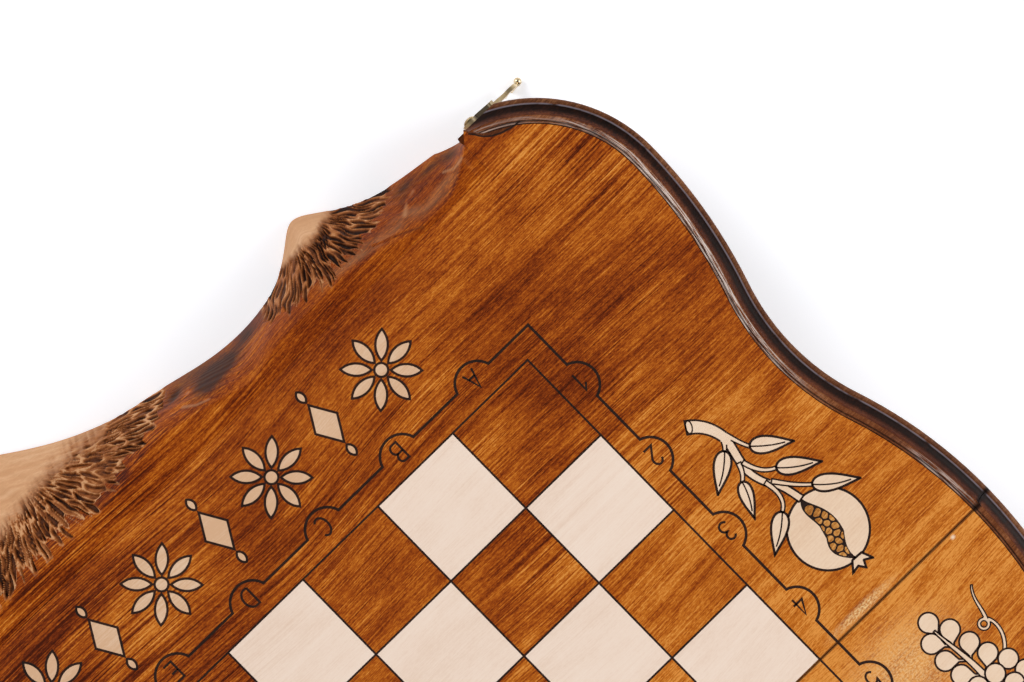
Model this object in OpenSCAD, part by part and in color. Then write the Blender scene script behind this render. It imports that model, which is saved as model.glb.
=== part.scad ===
// Folding chess and backgammon board: two shallow trays hinged along one edge.
// Shown opened flat, chess side up, as it lies on a table. The fold runs along X at Y = 0.
// The near half (Y < 0) carries the hooks, the far half is its mirror and carries the catches.
// Origin: middle of the fold, on the table. Z is up. Millimetres.

/* [Playing field] */
// Side of one chess square
square_w = 45; // [44:0.5:46]
// Dark line left between two squares
line_w = 0.7; // [0.5:0.1:1.2]
// Thickness of every inlay
inlay_t = 1; // [0.6:0.1:1.5]

/* [Box] */
// Height of one tray, from its rim to its playing face
tray_h = 44.9; // [42:0.1:50]
// Thickness of the playing panel
panel_t = 8; // [7:0.5:9]
// Half the width of the tray's inside
inside_half_w = 225; // [222:1:228]
// Thickness of the rail along the fold
spine_t = 12; // [11:0.5:14]
// Distance of the carved block's inner face from the fold
front_inner_y = 236; // [234:1:240]
// Distance of the front plane from the fold
front_y = 270; // [268:1:272]

/* [Side outline] */
// Half the width over the bulge at the fold
bulge_half_w = 284.2; // [282:0.1:286]
// Radius of the bulge at the fold
bulge_r = 213.2; // [208:0.1:218]
// Turn of the bulge
bulge_turn = 19; // [18:0.5:20]
// Radius of the waist
waist_r = 105.8; // [104:0.1:109]
// Radius of the long lobe before the corner
lobe_r = 233.2; // [228:0.1:238]
// Turn of the long lobe
lobe_turn = 18; // [17:0.5:19]
// Radius of the corner
corner_r = 70.2; // [69:0.1:72]

/* [Moulding] */
// Distance from the outline to the panel's edge
mould_w = 12.2; // [11.8:0.1:13]
// Radius of the dark hollow
cove_r = 6.2; // [5.6:0.1:6.4]
// Radius of the bead at the outer lip
bead_r = 1.5; // [1.2:0.1:1.6]
// Radius of the fine groove beside the panel
groove_r = 0.6; // [0.4:0.1:0.7]

/* [Mountain front] */
// Where the panel ends and the carved block starts
carve_y = 250; // [246:0.5:251]
// How far the great peak stands out
great_peak = 62.3; // [56:0.1:70]
// Where the great peak stands along the edge
great_x = 54.5; // [50:0.5:60]
// How far the little peak stands out
little_peak = 27; // [22:1:32]
// Where the little peak stands along the edge
little_x = -145.6; // [-150:0.1:-140]
// Depth of the gullies that run down the slopes
gully_d = 2.2; // [0:0.1:3]

/* [Hinges and hooks] */
// Radius of the hinge barrel
barrel_r = 1.6; // [1.5:0.05:1.8]
// Length of one hinge
hinge_l = 50; // [45:1:60]
// Distance of each hinge from the middle
hinge_x = 150; // [120:5:180]
// Distance of each hook from the middle
hook_x = 235; // [233:1:237]
// Height of the hook's rivet above the table
hook_z = 15.6; // [14:0.1:17]
// Distance from rivet to stud when the hook is closed
hook_reach = 26; // [24:0.5:28]

/* [Hidden] */

// The fold's axis lies in the plane where the two rims meet, so its barrel touches the table.
axis_z = barrel_r;
rim_gap = 0.1;
rim_z = axis_z + rim_gap;
top_z = rim_z + tray_h;
under_z = top_z - panel_t;
seam_gap = 0.15;
fit_gap = 0.1;
eps = 1;

// The side outline is a chain of arcs, each tangent to the next. Angles are in degrees.
waist_turn = bulge_turn + lobe_turn;
c1 = [-(bulge_half_w - bulge_r), 0];
c2 = c1 + (bulge_r + waist_r) * [cos(180 + bulge_turn), sin(180 + bulge_turn)];
c3 = c2 + (waist_r + lobe_r) * [cos(lobe_turn), -sin(lobe_turn)];
c4 = c3 + [corner_r - lobe_r, 0];
corner_turn = 84;

// Where the moulding turns away at the corner, a small arc leads it out through the front plane.
flare_r = 15.2;
flare_dy = front_y + 5 + c4[1];
flare_reach = corner_r - mould_w + flare_r;
flare_c = c4 + [-sqrt(pow(flare_reach, 2) - pow(flare_dy, 2)), -flare_dy];

// A point at distance t inside the outline, on arc k, at the fraction f of its turn.
function side_point(k, f, t) =
    k == 1 ? c1 + (bulge_r - t) * [cos(180 + bulge_turn * f), sin(180 + bulge_turn * f)] :
    k == 2 ? c2 + (waist_r + t) * [cos(bulge_turn - waist_turn * f), sin(bulge_turn - waist_turn * f)] :
    k == 3 ? c3 + (lobe_r - t) * [cos(180 - lobe_turn + lobe_turn * f), sin(180 - lobe_turn + lobe_turn * f)] :
    c4 + (corner_r - t) * [cos(180 + corner_turn * f), sin(180 + corner_turn * f)];

// Points along the whole left side at distance t, from the fold to the corner.
function side_line(t) = concat(
    [for (f = [0, 0.5]) side_point(1, f, t)],
    [for (f = [0, 0.25, 0.5, 0.75]) side_point(2, f, t)],
    [for (f = [0, 0.5]) side_point(3, f, t)],
    [for (f = [0, 0.2, 0.4, 0.6, 0.8, 1]) side_point(4, f, t)]);

// Sweeps a profile along one arc. The profile's x is the distance inside the outline.
module along_arc(c, r, from, turn, bulges) {
    translate([c[0], c[1], 0])
        rotate([0, 0, from])
            rotate_extrude(angle = turn, $fn = 240)
                translate([r, 0])
                    mirror([bulges ? 1 : 0, 0])
                        children();
}

// Sweeps a profile along the whole left side.
module along_side() {
    along_arc(c1, bulge_r, 180, bulge_turn, true) children();
    along_arc(c2, waist_r, bulge_turn - waist_turn, waist_turn, false) children();
    along_arc(c3, lobe_r, 180 - lobe_turn, lobe_turn, true) children();
    along_arc(c4, corner_r, 180, corner_turn, true) children();
}

// Cross-section of a side rail, outline at x = 0: bead, hollow, flat land, fine groove, rabbet.
module rail_profile(reach) {
    wall_t = 0.35;
    riser_t = 2.2;
    cove_z = top_z - 0.4;
    bead_z = cove_z - cove_r - 0.3 - bead_r;
    foot = 0.7;
    difference() {
        union() {
            polygon([[wall_t + foot, rim_z], [reach, rim_z], [reach, under_z], [mould_w, under_z],
                [mould_w, top_z], [riser_t, top_z], [riser_t, bead_z], [wall_t, bead_z],
                [wall_t, rim_z + foot]]);
            translate([bead_r, bead_z])
                circle(r = bead_r, $fn = 48);
        }
        translate([riser_t, cove_z])
            circle(r = cove_r, $fn = 96);
        translate([riser_t - 2, cove_z])
            square([2, 4]);
        translate([mould_w - 1.3, top_z])
            circle(r = groove_r, $fn = 32);
    }
}

// The left side rail of the near half: the swept moulding and the straight inner wall.
module side_rail(plate_z) {
    reach = 24;
    core_t = 19;
    rail_l = front_y - seam_gap;
    rail_w = 300 - inside_half_w;
    difference() {
        union() {
            intersection() {
                along_side() rail_profile(reach);
                translate([-300, -front_y, 0])
                    cube([rail_w, rail_l, 100]);
            }
            translate([0, 0, rim_z])
                linear_extrude(under_z - rim_z)
                    intersection() {
                        polygon(concat(side_line(core_t), [[-100, -front_y - 40], [-100, 0]]));
                        translate([-300, -front_y])
                            square([rail_w, rail_l]);
                    }
        }
        translate([0, 0, under_z])
            linear_extrude(panel_t + eps)
                tongue_2d(0, eps);
        plate_holes(plate_z);
    }
}

// The tongue by which the panel reaches the front plane, inside the arc that ends the moulding.
// Its outer corner is cut back to where the carved slope starts.
module tongue_2d(gap, past) {
    meet_x = flare_c[0] + (c4[0] - flare_c[0]) * flare_r / flare_reach + 1.5;
    back_y = -front_y + 16;
    right_x = -inside_half_w + past;
    corner = past > 0 ? [[right_x, -front_y - past]] : [[right_x - 4.2, -front_y], [right_x, -front_y + 5]];
    difference() {
        polygon(concat([[meet_x, back_y], [meet_x, -front_y - past]], corner, [[right_x, back_y]]));
        translate(flare_c)
            circle(r = flare_r + gap, $fn = 96);
    }
}

// The wedge between two directions from c, out to the given distance.
module wedge_2d(c, far, from, turn) {
    translate(c)
        polygon([[0, 0], far * [cos(from), sin(from)], far * [cos(from + turn), sin(from + turn)]]);
}

// The part of a disc between two directions.
module pie_2d(c, r, from, turn) {
    intersection() {
        translate(c)
            circle(r = r, $fn = 240);
        wedge_2d(c, 2 * r, from, turn);
    }
}

// The panel's left part. Each arc laps the next, one of them a hair inside the other.
module panel_side_2d(edge_t) {
    lap_a = 0.25;
    hair = 0.03;
    waist_edge = waist_r + edge_t + hair;
    pie_2d(c1, bulge_r - edge_t, 180 - lap_a, bulge_turn + 2 * lap_a);
    pie_2d(c3, lobe_r - edge_t, 180 - lobe_turn - lap_a, lobe_turn + lap_a);
    pie_2d(c4, corner_r - edge_t - hair, 180 - 2 * lap_a, corner_turn + 2 * lap_a);
    difference() {
        wedge_2d(c2, waist_edge + 25, bulge_turn - waist_turn, waist_turn);
        translate(c2)
            circle(r = waist_edge, $fn = 240);
    }
    polygon(concat(side_line(edge_t + 6), [[0, -front_y], [0, 0]]));
}

// The playing panel without its inlays, between the two mouldings.
module panel_slab() {
    half_w = 300;
    side_w = half_w - inside_half_w;
    translate([0, 0, under_z])
        linear_extrude(panel_t)
            intersection() {
                for (side = [0, 1])
                    mirror([side, 0]) {
                        panel_side_2d(mould_w + fit_gap);
                        tongue_2d(fit_gap, 0);
                    }
                union() {
                    translate([-half_w, -carve_y + fit_gap])
                        square([2 * half_w, carve_y - fit_gap - seam_gap]);
                    for (side = [0, 1])
                        mirror([side, 0])
                            translate([-half_w, -front_y])
                                square([side_w, front_y - carve_y + 2 * eps]);
                }
            }
}

// One panel. The far half is its mirror, so its squares and side inlays are handed in.
module playing_panel(parity) {
    color("peru")
        difference() {
            panel_slab();
            translate([0, 0, top_z - inlay_t])
                linear_extrude(inlay_t + eps) {
                    light_squares_2d(parity, fit_gap);
                    rosette_band_2d(fit_gap);
                    for (side = [0, 1])
                        mirror([side, 0])
                            if (parity == 1) pomegranate_2d(fit_gap);
                            else grapes_2d(fit_gap);
                }
            translate([0, 0, under_z - eps])
                linear_extrude(inlay_t + eps)
                    for (shade = [0, 1])
                        points_2d(shade, fit_gap);
        }
}

// The light squares of one half: those whose file and rank add up to the parity. Beside the
// fold they stop a little short, so that a strip of the panel holds them.
module light_squares_2d(parity, grow) {
    side = square_w - line_w + 2 * grow;
    strip_w = 0.65;
    difference() {
        for (file = [0 : 7])
            for (rank = [0 : 3])
                if ((file + rank) % 2 == parity)
                    translate([(file - 3.5) * square_w, (rank - 3.5) * square_w])
                        square(side, center = true);
        translate([-5 * square_w, grow - strip_w])
            square([10 * square_w, square_w]);
    }
}

// A petal from a to b, between two equal arcs.
module petal_2d(a, b, w, grow) {
    l = norm(b - a);
    r = (l * l + w * w) / (4 * w);
    translate((a + b) / 2)
        rotate([0, 0, atan2(b[1] - a[1], b[0] - a[0])])
            intersection() {
                translate([0, r - w / 2])
                    circle(r = r + grow, $fn = 180);
                translate([0, w / 2 - r])
                    circle(r = r + grow, $fn = 180);
            }
}

// A leaf from a to b: round at its base, widest near it, drawn out to a point.
function leaf_half(f) = pow(f, 0.5) * pow(1 - f, 1.2) / 0.357;
module leaf_2d(a, b, w, grow) {
    steps = 10;
    l = norm(b - a);
    side = [for (k = [1 : steps - 1]) let (f = pow(k / steps, 1.4)) [l * f, w / 2 * leaf_half(f) + grow]];
    translate(a)
        rotate([0, 0, atan2(b[1] - a[1], b[0] - a[0])])
            polygon(concat([[-1.5 * grow, 0]], side, [[l + 3 * grow, 0]],
                [for (k = [steps - 2 : -1 : 0]) [side[k][0], -side[k][1]]]));
}

// A curved twig that tapers from width wa to wb along a cubic curve.
function curve(p, f) = pow(1 - f, 3) * p[0] + 3 * pow(1 - f, 2) * f * p[1]
    + 3 * (1 - f) * f * f * p[2] + f * f * f * p[3];
function across(p, f) = let (d = curve(p, f + 0.01) - curve(p, f - 0.01)) [-d[1], d[0]] / norm(d);
module twig_2d(p, wa, wb, grow) {
    steps = 8;
    half = function (f) (wa + (wb - wa) * f) / 2 + grow;
    polygon(concat(
        [for (k = [0 : steps]) let (f = k / steps) curve(p, f) + across(p, f) * half(f)],
        [for (k = [steps : -1 : 0]) let (f = k / steps) curve(p, f) - across(p, f) * half(f)]));
}

// The plain ornament between the squares and the mountain: eight-petalled rosettes and lozenges.
module rosette_band_2d(grow) {
    band_y = -220.9;
    pitch = 66;
    petal_l = 13.5;
    hub_r = 3;
    hub_gap = 1.1;
    for (k = [-2 : 2])
        translate([k * pitch, band_y]) {
            circle(r = hub_r + grow, $fn = 48);
            for (turn = [0 : 45 : 315])
                rotate([0, 0, turn])
                    petal_2d([hub_r + hub_gap, 0], [hub_r + hub_gap + petal_l, 0], 5.4, grow);
        }
    for (k = [-1.5 : 1 : 1.5])
        translate([k * pitch, band_y]) {
            lozenge_2d(6.5, 11, grow);
            for (end = [-1, 1])
                petal_2d([0, end * 12.6], [0, end * 18.6], 3.4, grow);
        }
}

// A lozenge with half-diagonals a and b, grown outwards by an even margin.
module lozenge_2d(a, b, grow) {
    side = sqrt(a * a + b * b);
    ga = a + grow * side / b;
    gb = b + grow * side / a;
    polygon([[ga, 0], [0, gb], [-ga, 0], [0, -gb]]);
}

// A leaf on a stalk that ends just inside the leaf's base.
module stalked_leaf_2d(start, bend, base, tip, w, grow) {
    inside = base + (tip - base) / norm(tip - base);
    twig_2d([start, bend[0], bend[1], inside], 2.2, 1.5, grow);
    leaf_2d(base, tip, w, grow);
}

// A clockwise outline moved outwards by an even margin: each corner goes along its two edges' normals.
function grown(p, margin) = let (n = len(p)) [for (k = [0 : n - 1]) let (
    a = p[k] - p[(k + n - 1) % n],
    b = p[(k + 1) % n] - p[k],
    out_a = [-a[1], a[0]] / norm(a),
    out_b = [-b[1], b[0]] / norm(b)) p[k] + margin * (out_a + out_b) / (1 + out_a * out_b)];

// A pomegranate on its twig with six leaves, beside the squares of the near half.
module pomegranate_2d(grow) {
    fruit = [-221.8, -37.8];
    fruit_r = 17.9;
    crown = [-222, -18];
    leaf_w = 7.5;
    difference() {
        translate(fruit)
            circle(r = fruit_r + grow, $fn = 180);
        split_2d(grow);
    }
    translate(crown)
        polygon(grown([[-2.9, -2.6], [-3.8, -0.5], [-5, 2.5], [-1.4, 0.4], [0.1, 3.5],
            [2.1, 0.6], [5.8, 1.3], [2.3, -2.9]], grow));
    twig_2d([[-208.2, -111.6], [-213.4, -108.5], [-217.2, -102.5], [-217.4, -94.5]], 6.1, 4.4, grow);
    twig_2d([[-217.3, -96], [-216.4, -90.5], [-214.6, -85.5], [-214.4, -80.5]], 4, 3.8, grow);
    twig_2d([[-214.4, -82], [-213.8, -77.5], [-215.5, -72.5], [-218.3, -67.5]], 3.4, 3, grow);
    twig_2d([[-217.8, -69.5], [-220.3, -65.3], [-221.4, -61], [-222.5, -55.1]], 3, 3.4, grow);
    stalked_leaf_2d([-218.4, -97.6], [[-219.8, -93], [-220.6, -90]],
        [-222.4, -86.8], [-237.7, -75.1], leaf_w, grow);
    stalked_leaf_2d([-215.4, -84], [[-217, -77.6], [-219.8, -74]],
        [-224.1, -72.2], [-240.2, -60.4], leaf_w, grow);
    stalked_leaf_2d([-218.6, -69.5], [[-221.3, -66], [-224.4, -61.2]],
        [-230.2, -56.3], [-247.1, -43.7], leaf_w, grow);
    stalked_leaf_2d([-216.4, -98.1], [[-215.6, -95.2], [-214.5, -93.9]],
        [-213.2, -92.8], [-197.9, -81.3], leaf_w, grow);
    stalked_leaf_2d([-213.9, -85], [[-212.8, -81.5], [-211.6, -79.6]],
        [-209.4, -78.1], [-202.2, -63], leaf_w - 1.3, grow);
    stalked_leaf_2d([-216.2, -71], [[-218, -64.5], [-217.2, -59.3]],
        [-212.7, -56.8], [-197.4, -45.7], leaf_w, grow);
}

// The opening in the fruit, between two curved edges that meet near its stalk and near its crown.
module split_2d(shrink) {
    steps = 6;
    outer = [[[-222.3, -54.7], [-223.3, -49.2], [-229.4, -44.4], [-225.9, -32.8]],
        [[-225.9, -32.8], [-222.9, -29.1], [-220.5, -25.5], [-221.5, -20.9]]];
    inner = [[[-222, -54.7], [-217.8, -50.4], [-220.3, -46.1], [-220.1, -41]],
        [[-218.6, -35.2], [-213.8, -29], [-217.8, -25.1], [-221.1, -21.1]]];
    cut_back = 0.3 * shrink;
    place = function (k, n) n == 0 ? max(cut_back, k / steps) : min(1 - cut_back, k / steps);
    polygon(concat(
        [for (n = [0, 1]) for (k = [n : steps]) let (f = place(k, n))
            curve(outer[n], f) - across(outer[n], f) * shrink],
        [for (n = [1, 0]) for (k = [steps : -1 : 0]) let (f = place(k, n))
            curve(inner[n], f) + across(inner[n], f) * shrink]));
}

// A bunch of grapes with its tendril under a five-lobed leaf, beside the squares of the far half.
// The first seven grapes show the stalks by which they hang on the stem.
module grapes_2d(grow) {
    grape_r = 4.45;
    stem = [[-223.6, -25.5], [-224, -36], [-227, -46], [-225.4, -58.5]];
    stem_l = stem[0][1] - stem[3][1];
    hang_l = 7.5;
    hanging = [[-224.3, -21.2], [-229, -29.7], [-218.9, -28.6], [-231.2, -39.4], [-218.1, -38],
        [-233.7, -48.2], [-218.8, -47.1]];
    bunched = [[-238.2, -56.2], [-229.7, -56.9], [-220.6, -55.8], [-212, -54.4], [-240.2, -64.7],
        [-232.9, -65.4], [-224.3, -65], [-215.6, -63.6], [-236.3, -72.4], [-227.7, -73], [-219.3, -72]];
    for (c = concat(hanging, bunched))
        translate(c)
            circle(r = grape_r + grow, $fn = 64);
    for (c = hanging)
        neck_2d(c, curve(stem, min(1, (stem[0][1] + hang_l - c[1]) / stem_l)), grape_r, grow);
    twig_2d(stem, 1, 3.4, grow);
    twig_2d([[-238.9, -53], [-245, -48.5], [-246.5, -40.5], [-243, -36.6]], 1.6, 1.4, grow);
    difference() {
        translate([-241.1, -38.2])
            circle(r = 2.8 + grow, $fn = 48);
        translate([-241.1, -38.2])
            circle(r = 1.4 - grow, $fn = 48);
    }
    twig_2d([[-243.2, -37.4], [-245.6, -32.5], [-244.6, -27], [-249, -22.4]], 1.7, 0.8, grow);
    heart = [-222, -97];
    root_l = 3;
    for (lobe = [[90, 15], [38, 15.5], [142, 15.5], [-24, 14], [204, 14]])
        petal_2d(heart + root_l * [cos(lobe[0]), sin(lobe[0])],
            heart - lobe[1] * [cos(lobe[0]), sin(lobe[0])], 9.5, grow);
    twig_2d([[-223.6, -74], [-221.5, -80], [-221, -86], [-222, -92]], 3.6, 3, grow);
}

// The narrowing end of a grape at c and its stalk, both towards the place where it joins the stem.
module neck_2d(c, join, r, grow) {
    d = (join - c) / norm(join - c);
    n = [-d[1], d[0]];
    end = 5.6;
    wide = 3.4;
    polygon([c + d * 2.8 + n * (wide + grow), c + d * end + n * (0.9 + grow), c + d * end - n * (0.9 + grow),
        c + d * 2.8 - n * (wide + grow), c]);
    polygon([c + d * r + n * (0.6 + grow), join + n * (0.5 + grow), join - n * (0.5 + grow),
        c + d * r - n * (0.6 + grow)]);
}

// Six backgammon points of one shade on each side of a tray, seen through the panel.
module points_2d(shade, grow) {
    field_l = front_inner_y - spine_t;
    pitch = field_l / 6;
    base_w = pitch - 1.6;
    point_l = 160;
    base_x = inside_half_w - 3;
    for (side = [0, 1])
        for (k = [0 : 5])
            if ((k + side) % 2 == shade)
                translate([0, -spine_t - (k + 0.5) * pitch])
                    mirror([side, 0])
                        polygon([[base_x + grow, -base_w / 2 - grow], [base_x + grow, base_w / 2 + grow],
                            [base_x - point_l - 4 * grow, 0]]);
}

// The rail along the fold, with a mortise and a round channel for each hinge.
module spine_rail() {
    leaf_l = hinge_l + 0.4;
    color("sienna")
        difference() {
            translate([-inside_half_w + fit_gap, -spine_t, rim_z])
                cube([2 * (inside_half_w - fit_gap), spine_t - seam_gap, under_z - rim_z]);
            for (x = [-hinge_x, hinge_x])
                translate([x, 0, 0]) {
                    translate([-leaf_l / 2, -leaf_w - fit_gap, 0])
                        cube([leaf_l, leaf_w + fit_gap + eps, rim_z + leaf_t + 0.05]);
                    translate([-leaf_l / 2, 0, axis_z])
                        rotate([0, 90, 0])
                            cylinder(r = barrel_r + 0.4, h = leaf_l, $fn = 64);
                    for (dx = screw_dx)
                        translate([dx, -screw_y, 0])
                            cylinder(r = screw_r + 0.05, h = screw_l + 2.4, $fn = 32);
                }
        }
}

// How far the silhouette of the front stands from the fold at x: two peaks with curved flanks
// and a low knoll between them.
function peak(x, at, out, left, right, tip) =
    out * exp(-(sqrt(pow(x - at, 2) + tip * tip) - tip) / (x < at ? left : right));
function hump(x, at, w) = exp(-pow((x - at) / w, 2));
function silhouette(x) = front_y
    + (peak(x, great_x, great_peak, 60.5, 50, 16) + peak(x, little_x, little_peak, 28.3, 20, 7.5)
    + 2.1 * hump(x, -50, 23)) * min(1, (inside_half_w - abs(x)) / 12);

// The front ends in a plain upright edge above the rim, higher towards the corners.
function ease(f) = let (g = min(1, max(0, f))) g * g * (3 - 2 * g);
function foot_z(x) = rim_z + 5 + 18 * ease((abs(x) - 165) / 45);

// The line where the flat top ends. It draws back at the saddles beside the peaks.
function start_y(x) = carve_y + 10.6 + 13.6 * ease((abs(x) - 204) / 40)
    - 8.6 * hump(abs(x), 196, 30) - 4.4 * hump(x, -90, 13.4) + 5.7 * hump(x, -41, 22);

// The carved slope: a round shoulder, then steeper down to the foot, with gullies fanning out.
function gully(x, v) =
    let (g = (x - great_x) / (1.25 - v), l = (x - little_x) / (1.25 - v),
        near_great = exp(-abs(x - great_x) / 70), near_little = exp(-abs(x - little_x) / 22))
    gully_d * sin(180 * v) * (near_great * pow(sin(g * 7), 2) + near_little * pow(sin(l * 9), 2));
function slope_z(x, v) = foot_z(x) + (top_z - foot_z(x)) * (1 - pow(v, 1.5)) - gully(x, v)
    * min(1, (inside_half_w - abs(x)) / 20);
function front_section(x) =
    let (y0 = start_y(x), y1 = silhouette(x), steps = 12)
    concat([[-front_inner_y, rim_z], [-front_inner_y, under_z], [-carve_y, under_z], [-carve_y, top_z]],
        [for (k = [0 : steps]) let (v = k / steps) [-(y0 + (y1 - y0) * v), slope_z(x, v)]],
        [[-y1, rim_z]]);

// The carved block between the side rails.
module mountain_front() {
    stations = 90;
    half_l = inside_half_w - fit_gap;
    rows = len(front_section(0));
    points = [for (k = [0 : stations])
        let (x = -half_l + 2 * half_l * k / stations)
        for (p = front_section(x)) [x, p[0], p[1]]];
    skin = [for (k = [0 : stations - 1]) for (n = [0 : rows - 1])
        let (a = k * rows + n, b = k * rows + (n + 1) % rows)
        for (face = [[a, a + rows, b], [b, a + rows, b + rows]]) face];
    ends = [[for (n = [0 : rows - 1]) n], [for (n = [rows - 1 : -1 : 0]) stations * rows + n]];
    color("saddlebrown")
        polyhedron(points, concat(skin, ends), convexity = 6);
}

// One leaf of a hinge on the near side. Even knuckles belong to the near leaf, odd to the far one.
module hinge_leaf(own) {
    knuckle_l = hinge_l / 5;
    play = 0.3;
    color("goldenrod")
        difference() {
            union() {
                translate([-hinge_l / 2, -leaf_w, rim_z])
                    cube([hinge_l, leaf_w - barrel_r - 0.5, leaf_t]);
                for (k = [own : 2 : 4])
                    translate([-hinge_l / 2 + k * knuckle_l + play / 2, 0, 0]) {
                        translate([0, -barrel_r - 1, rim_z])
                            cube([knuckle_l - play, barrel_r + 1, leaf_t]);
                        translate([0, 0, axis_z])
                            rotate([0, 90, 0])
                                cylinder(r = barrel_r, h = knuckle_l - play, $fn = 64);
                    }
            }
            translate([-hinge_l / 2 - eps, 0, axis_z])
                rotate([0, 90, 0])
                    cylinder(r = pin_r + 0.05, h = hinge_l + 2 * eps, $fn = 48);
            for (dx = screw_dx)
                translate([dx, -screw_y, rim_z])
                    countersink(0.1);
        }
}

// The cone and the hole that a hinge screw fills, head downwards, grown by a clearance.
module countersink(grow) {
    head_t = 1;
    translate([0, 0, -0.01])
        cylinder(r1 = screw_head_r + grow, r2 = screw_r + grow, h = head_t, $fn = 48);
    translate([0, 0, -0.01])
        cylinder(r = screw_r + grow, h = leaf_t + eps, $fn = 48);
}

module hinge_screws() {
    color("darkgoldenrod")
        for (x = [-hinge_x, hinge_x])
            for (dx = screw_dx)
                translate([x + dx, -screw_y, rim_z]) {
                    cylinder(r1 = screw_head_r, r2 = screw_r, h = 1, $fn = 48);
                    cylinder(r = screw_r, h = screw_l, $fn = 48);
                }
}

module hinge_pin() {
    color("gold")
        translate([-hinge_l / 2, 0, axis_z])
            rotate([0, 90, 0])
                cylinder(r = pin_r, h = hinge_l, $fn = 48);
}

// Things on the front plane are drawn flat, x along the board and y upwards, then stood up facing out.
module on_front(x, z, out) {
    translate([x, -front_y - out, z])
        rotate([90, 0, 0])
            children();
}

// A plate with rounded ends, holed in the middle for a rivet or stud and near both ends for pins.
module end_plate() {
    color("darkgoldenrod")
        linear_extrude(plate_t)
            difference() {
                union() {
                    square([plate_w, 2 * plate_pin_d], center = true);
                    for (end = [-1, 1])
                        translate([0, end * plate_pin_d])
                            circle(r = plate_w / 2 - 0.2, $fn = 64);
                }
                circle(r = rivet_r + 0.05, $fn = 48);
                for (end = [-1, 1])
                    translate([0, end * plate_pin_d])
                        circle(r = nail_r + 0.05, $fn = 32);
            }
}

// The holes in the rail's end for the rivet or stud and for the plate's pins.
module plate_holes(plate_z) {
    on_front(-hook_x, plate_z, -9)
        for (spot = [[0, rivet_r], [-plate_pin_d, nail_r], [plate_pin_d, nail_r]])
            translate([0, spot[0], 0])
                cylinder(r = spot[1] + 0.05, h = 9 + eps, $fn = 32);
}

// A rivet, stud or pin: a shank into the wood and a domed head outside.
module headed_pin(shank_r, inside_l, outside_l, head_r, head_t) {
    translate([0, 0, -inside_l])
        cylinder(r = shank_r, h = inside_l + outside_l + 0.2, $fn = 48);
    translate([0, 0, outside_l])
        cylinder(r = head_r, h = head_t * 0.4, $fn = 64);
    translate([0, 0, outside_l + head_t * 0.4])
        cylinder(r1 = head_r, r2 = head_r * 0.55, h = head_t * 0.6, $fn = 64);
}

module plate_pins(z) {
    color("gold")
        for (x = [-hook_x, hook_x])
            for (end = [-1, 1])
                on_front(x, z + end * plate_pin_d, 0)
                    headed_pin(nail_r, 6, plate_t + 0.05, 1.25, 0.7);
}

module hook_plate(x) {
    on_front(x, hook_z, 0)
        end_plate();
}

// The rivet or stud with the collar that keeps the arm clear of the plate.
module collared_pin(head_r) {
    color("gold") {
        headed_pin(rivet_r, 8, head_out, head_r, 1.4);
        translate([0, 0, plate_t])
            cylinder(r = rivet_r + 0.9, h = arm_out - plate_t - 0.3, $fn = 64);
    }
}

module hook_rivet(x) {
    on_front(x, hook_z, 0)
        collared_pin(3);
}

module catch_plate(x) {
    on_front(x, catch_z, 0)
        end_plate();
}

module catch_stud(x) {
    on_front(x, catch_z, 0)
        collared_pin(2.7);
}

module hung_arm(x) {
    on_front(x, hook_z, arm_out)
        hook_arm();
}

// The swinging arm: an eye on the rivet, a thick shank up to a small cross piece, a thin shank,
// an open hook and a knob to push it by.
module hook_arm() {
    mouth_r = rivet_r + 0.4;
    thick_l = 13;
    color("gold")
        rotate([0, 0, -hook_droop])
            difference() {
                union() {
                    linear_extrude(arm_t)
                        circle(r = 4.1, $fn = 64);
                    translate([3.4, -2, 0])
                        cube([thick_l - 3.4, 4, thick_t]);
                    translate([thick_l - 0.4, -2.7, 0])
                        cube([1.8, 5.4, thick_t]);
                    linear_extrude(thin_t) {
                        translate([thick_l, -1.6])
                            square([hook_reach - thick_l, 3.4]);
                        translate([hook_reach, 0])
                            circle(r = 4.3, $fn = 64);
                        translate([hook_reach, -0.9])
                            square([knob_out, 1.8]);
                    }
                    translate([hook_reach + knob_out, 0, knob_r])
                        sphere(r = knob_r, $fn = 48);
                }
                translate([0, 0, -eps])
                    cylinder(r = rivet_r + 0.05, h = arm_t + 2 * eps, $fn = 48);
                translate([hook_reach, 0, -eps])
                    cylinder(r = mouth_r, h = arm_t + 2 * eps, $fn = 48);
                translate([hook_reach - mouth_r, -6, -eps])
                    cube([2 * mouth_r, 6, arm_t + 2 * eps]);
            }
}

// Sizes of the small brass parts.
leaf_w = 11;
leaf_t = 1.2;
pin_r = 0.75;
screw_r = 1.1;
screw_head_r = 2.1;
screw_l = 8;
screw_y = 6.8;
screw_dx = [-18, 0, 18];
plate_t = 1;
plate_w = 8.4;
plate_pin_d = 7.5;
nail_r = 0.6;
rivet_r = 1.5;
arm_t = 2.2;
thick_t = 3;
thin_t = 1.9;
arm_out = plate_t + 1.1;
head_out = arm_out + arm_t + 0.3;
knob_r = 1.9;
knob_out = 6.4;
catch_z = 2 * axis_z - (hook_z - hook_reach);

// At rest the arm hangs sideways until its knob is just above the table.
hook_droop = asin((hook_z - knob_r - 0.1) / (hook_reach + knob_out));

// The far half is the near half mirrored across the fold, the right side the left one mirrored.
module far() {
    mirror([0, 1, 0])
        children();
}

module right() {
    mirror([1, 0, 0])
        children();
}

module left_side(plate_z) {
    color("maroon")
        side_rail(plate_z);
}

// Inlays lie flush in the playing face, or in the panel's inner face.
module top_inlay(shade) {
    color(shade)
        translate([0, 0, top_z - inlay_t])
            linear_extrude(inlay_t)
                children();
}

module inner_inlay(shade) {
    color(shade)
        translate([0, 0, under_z])
            linear_extrude(inlay_t)
                children();
}

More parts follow.
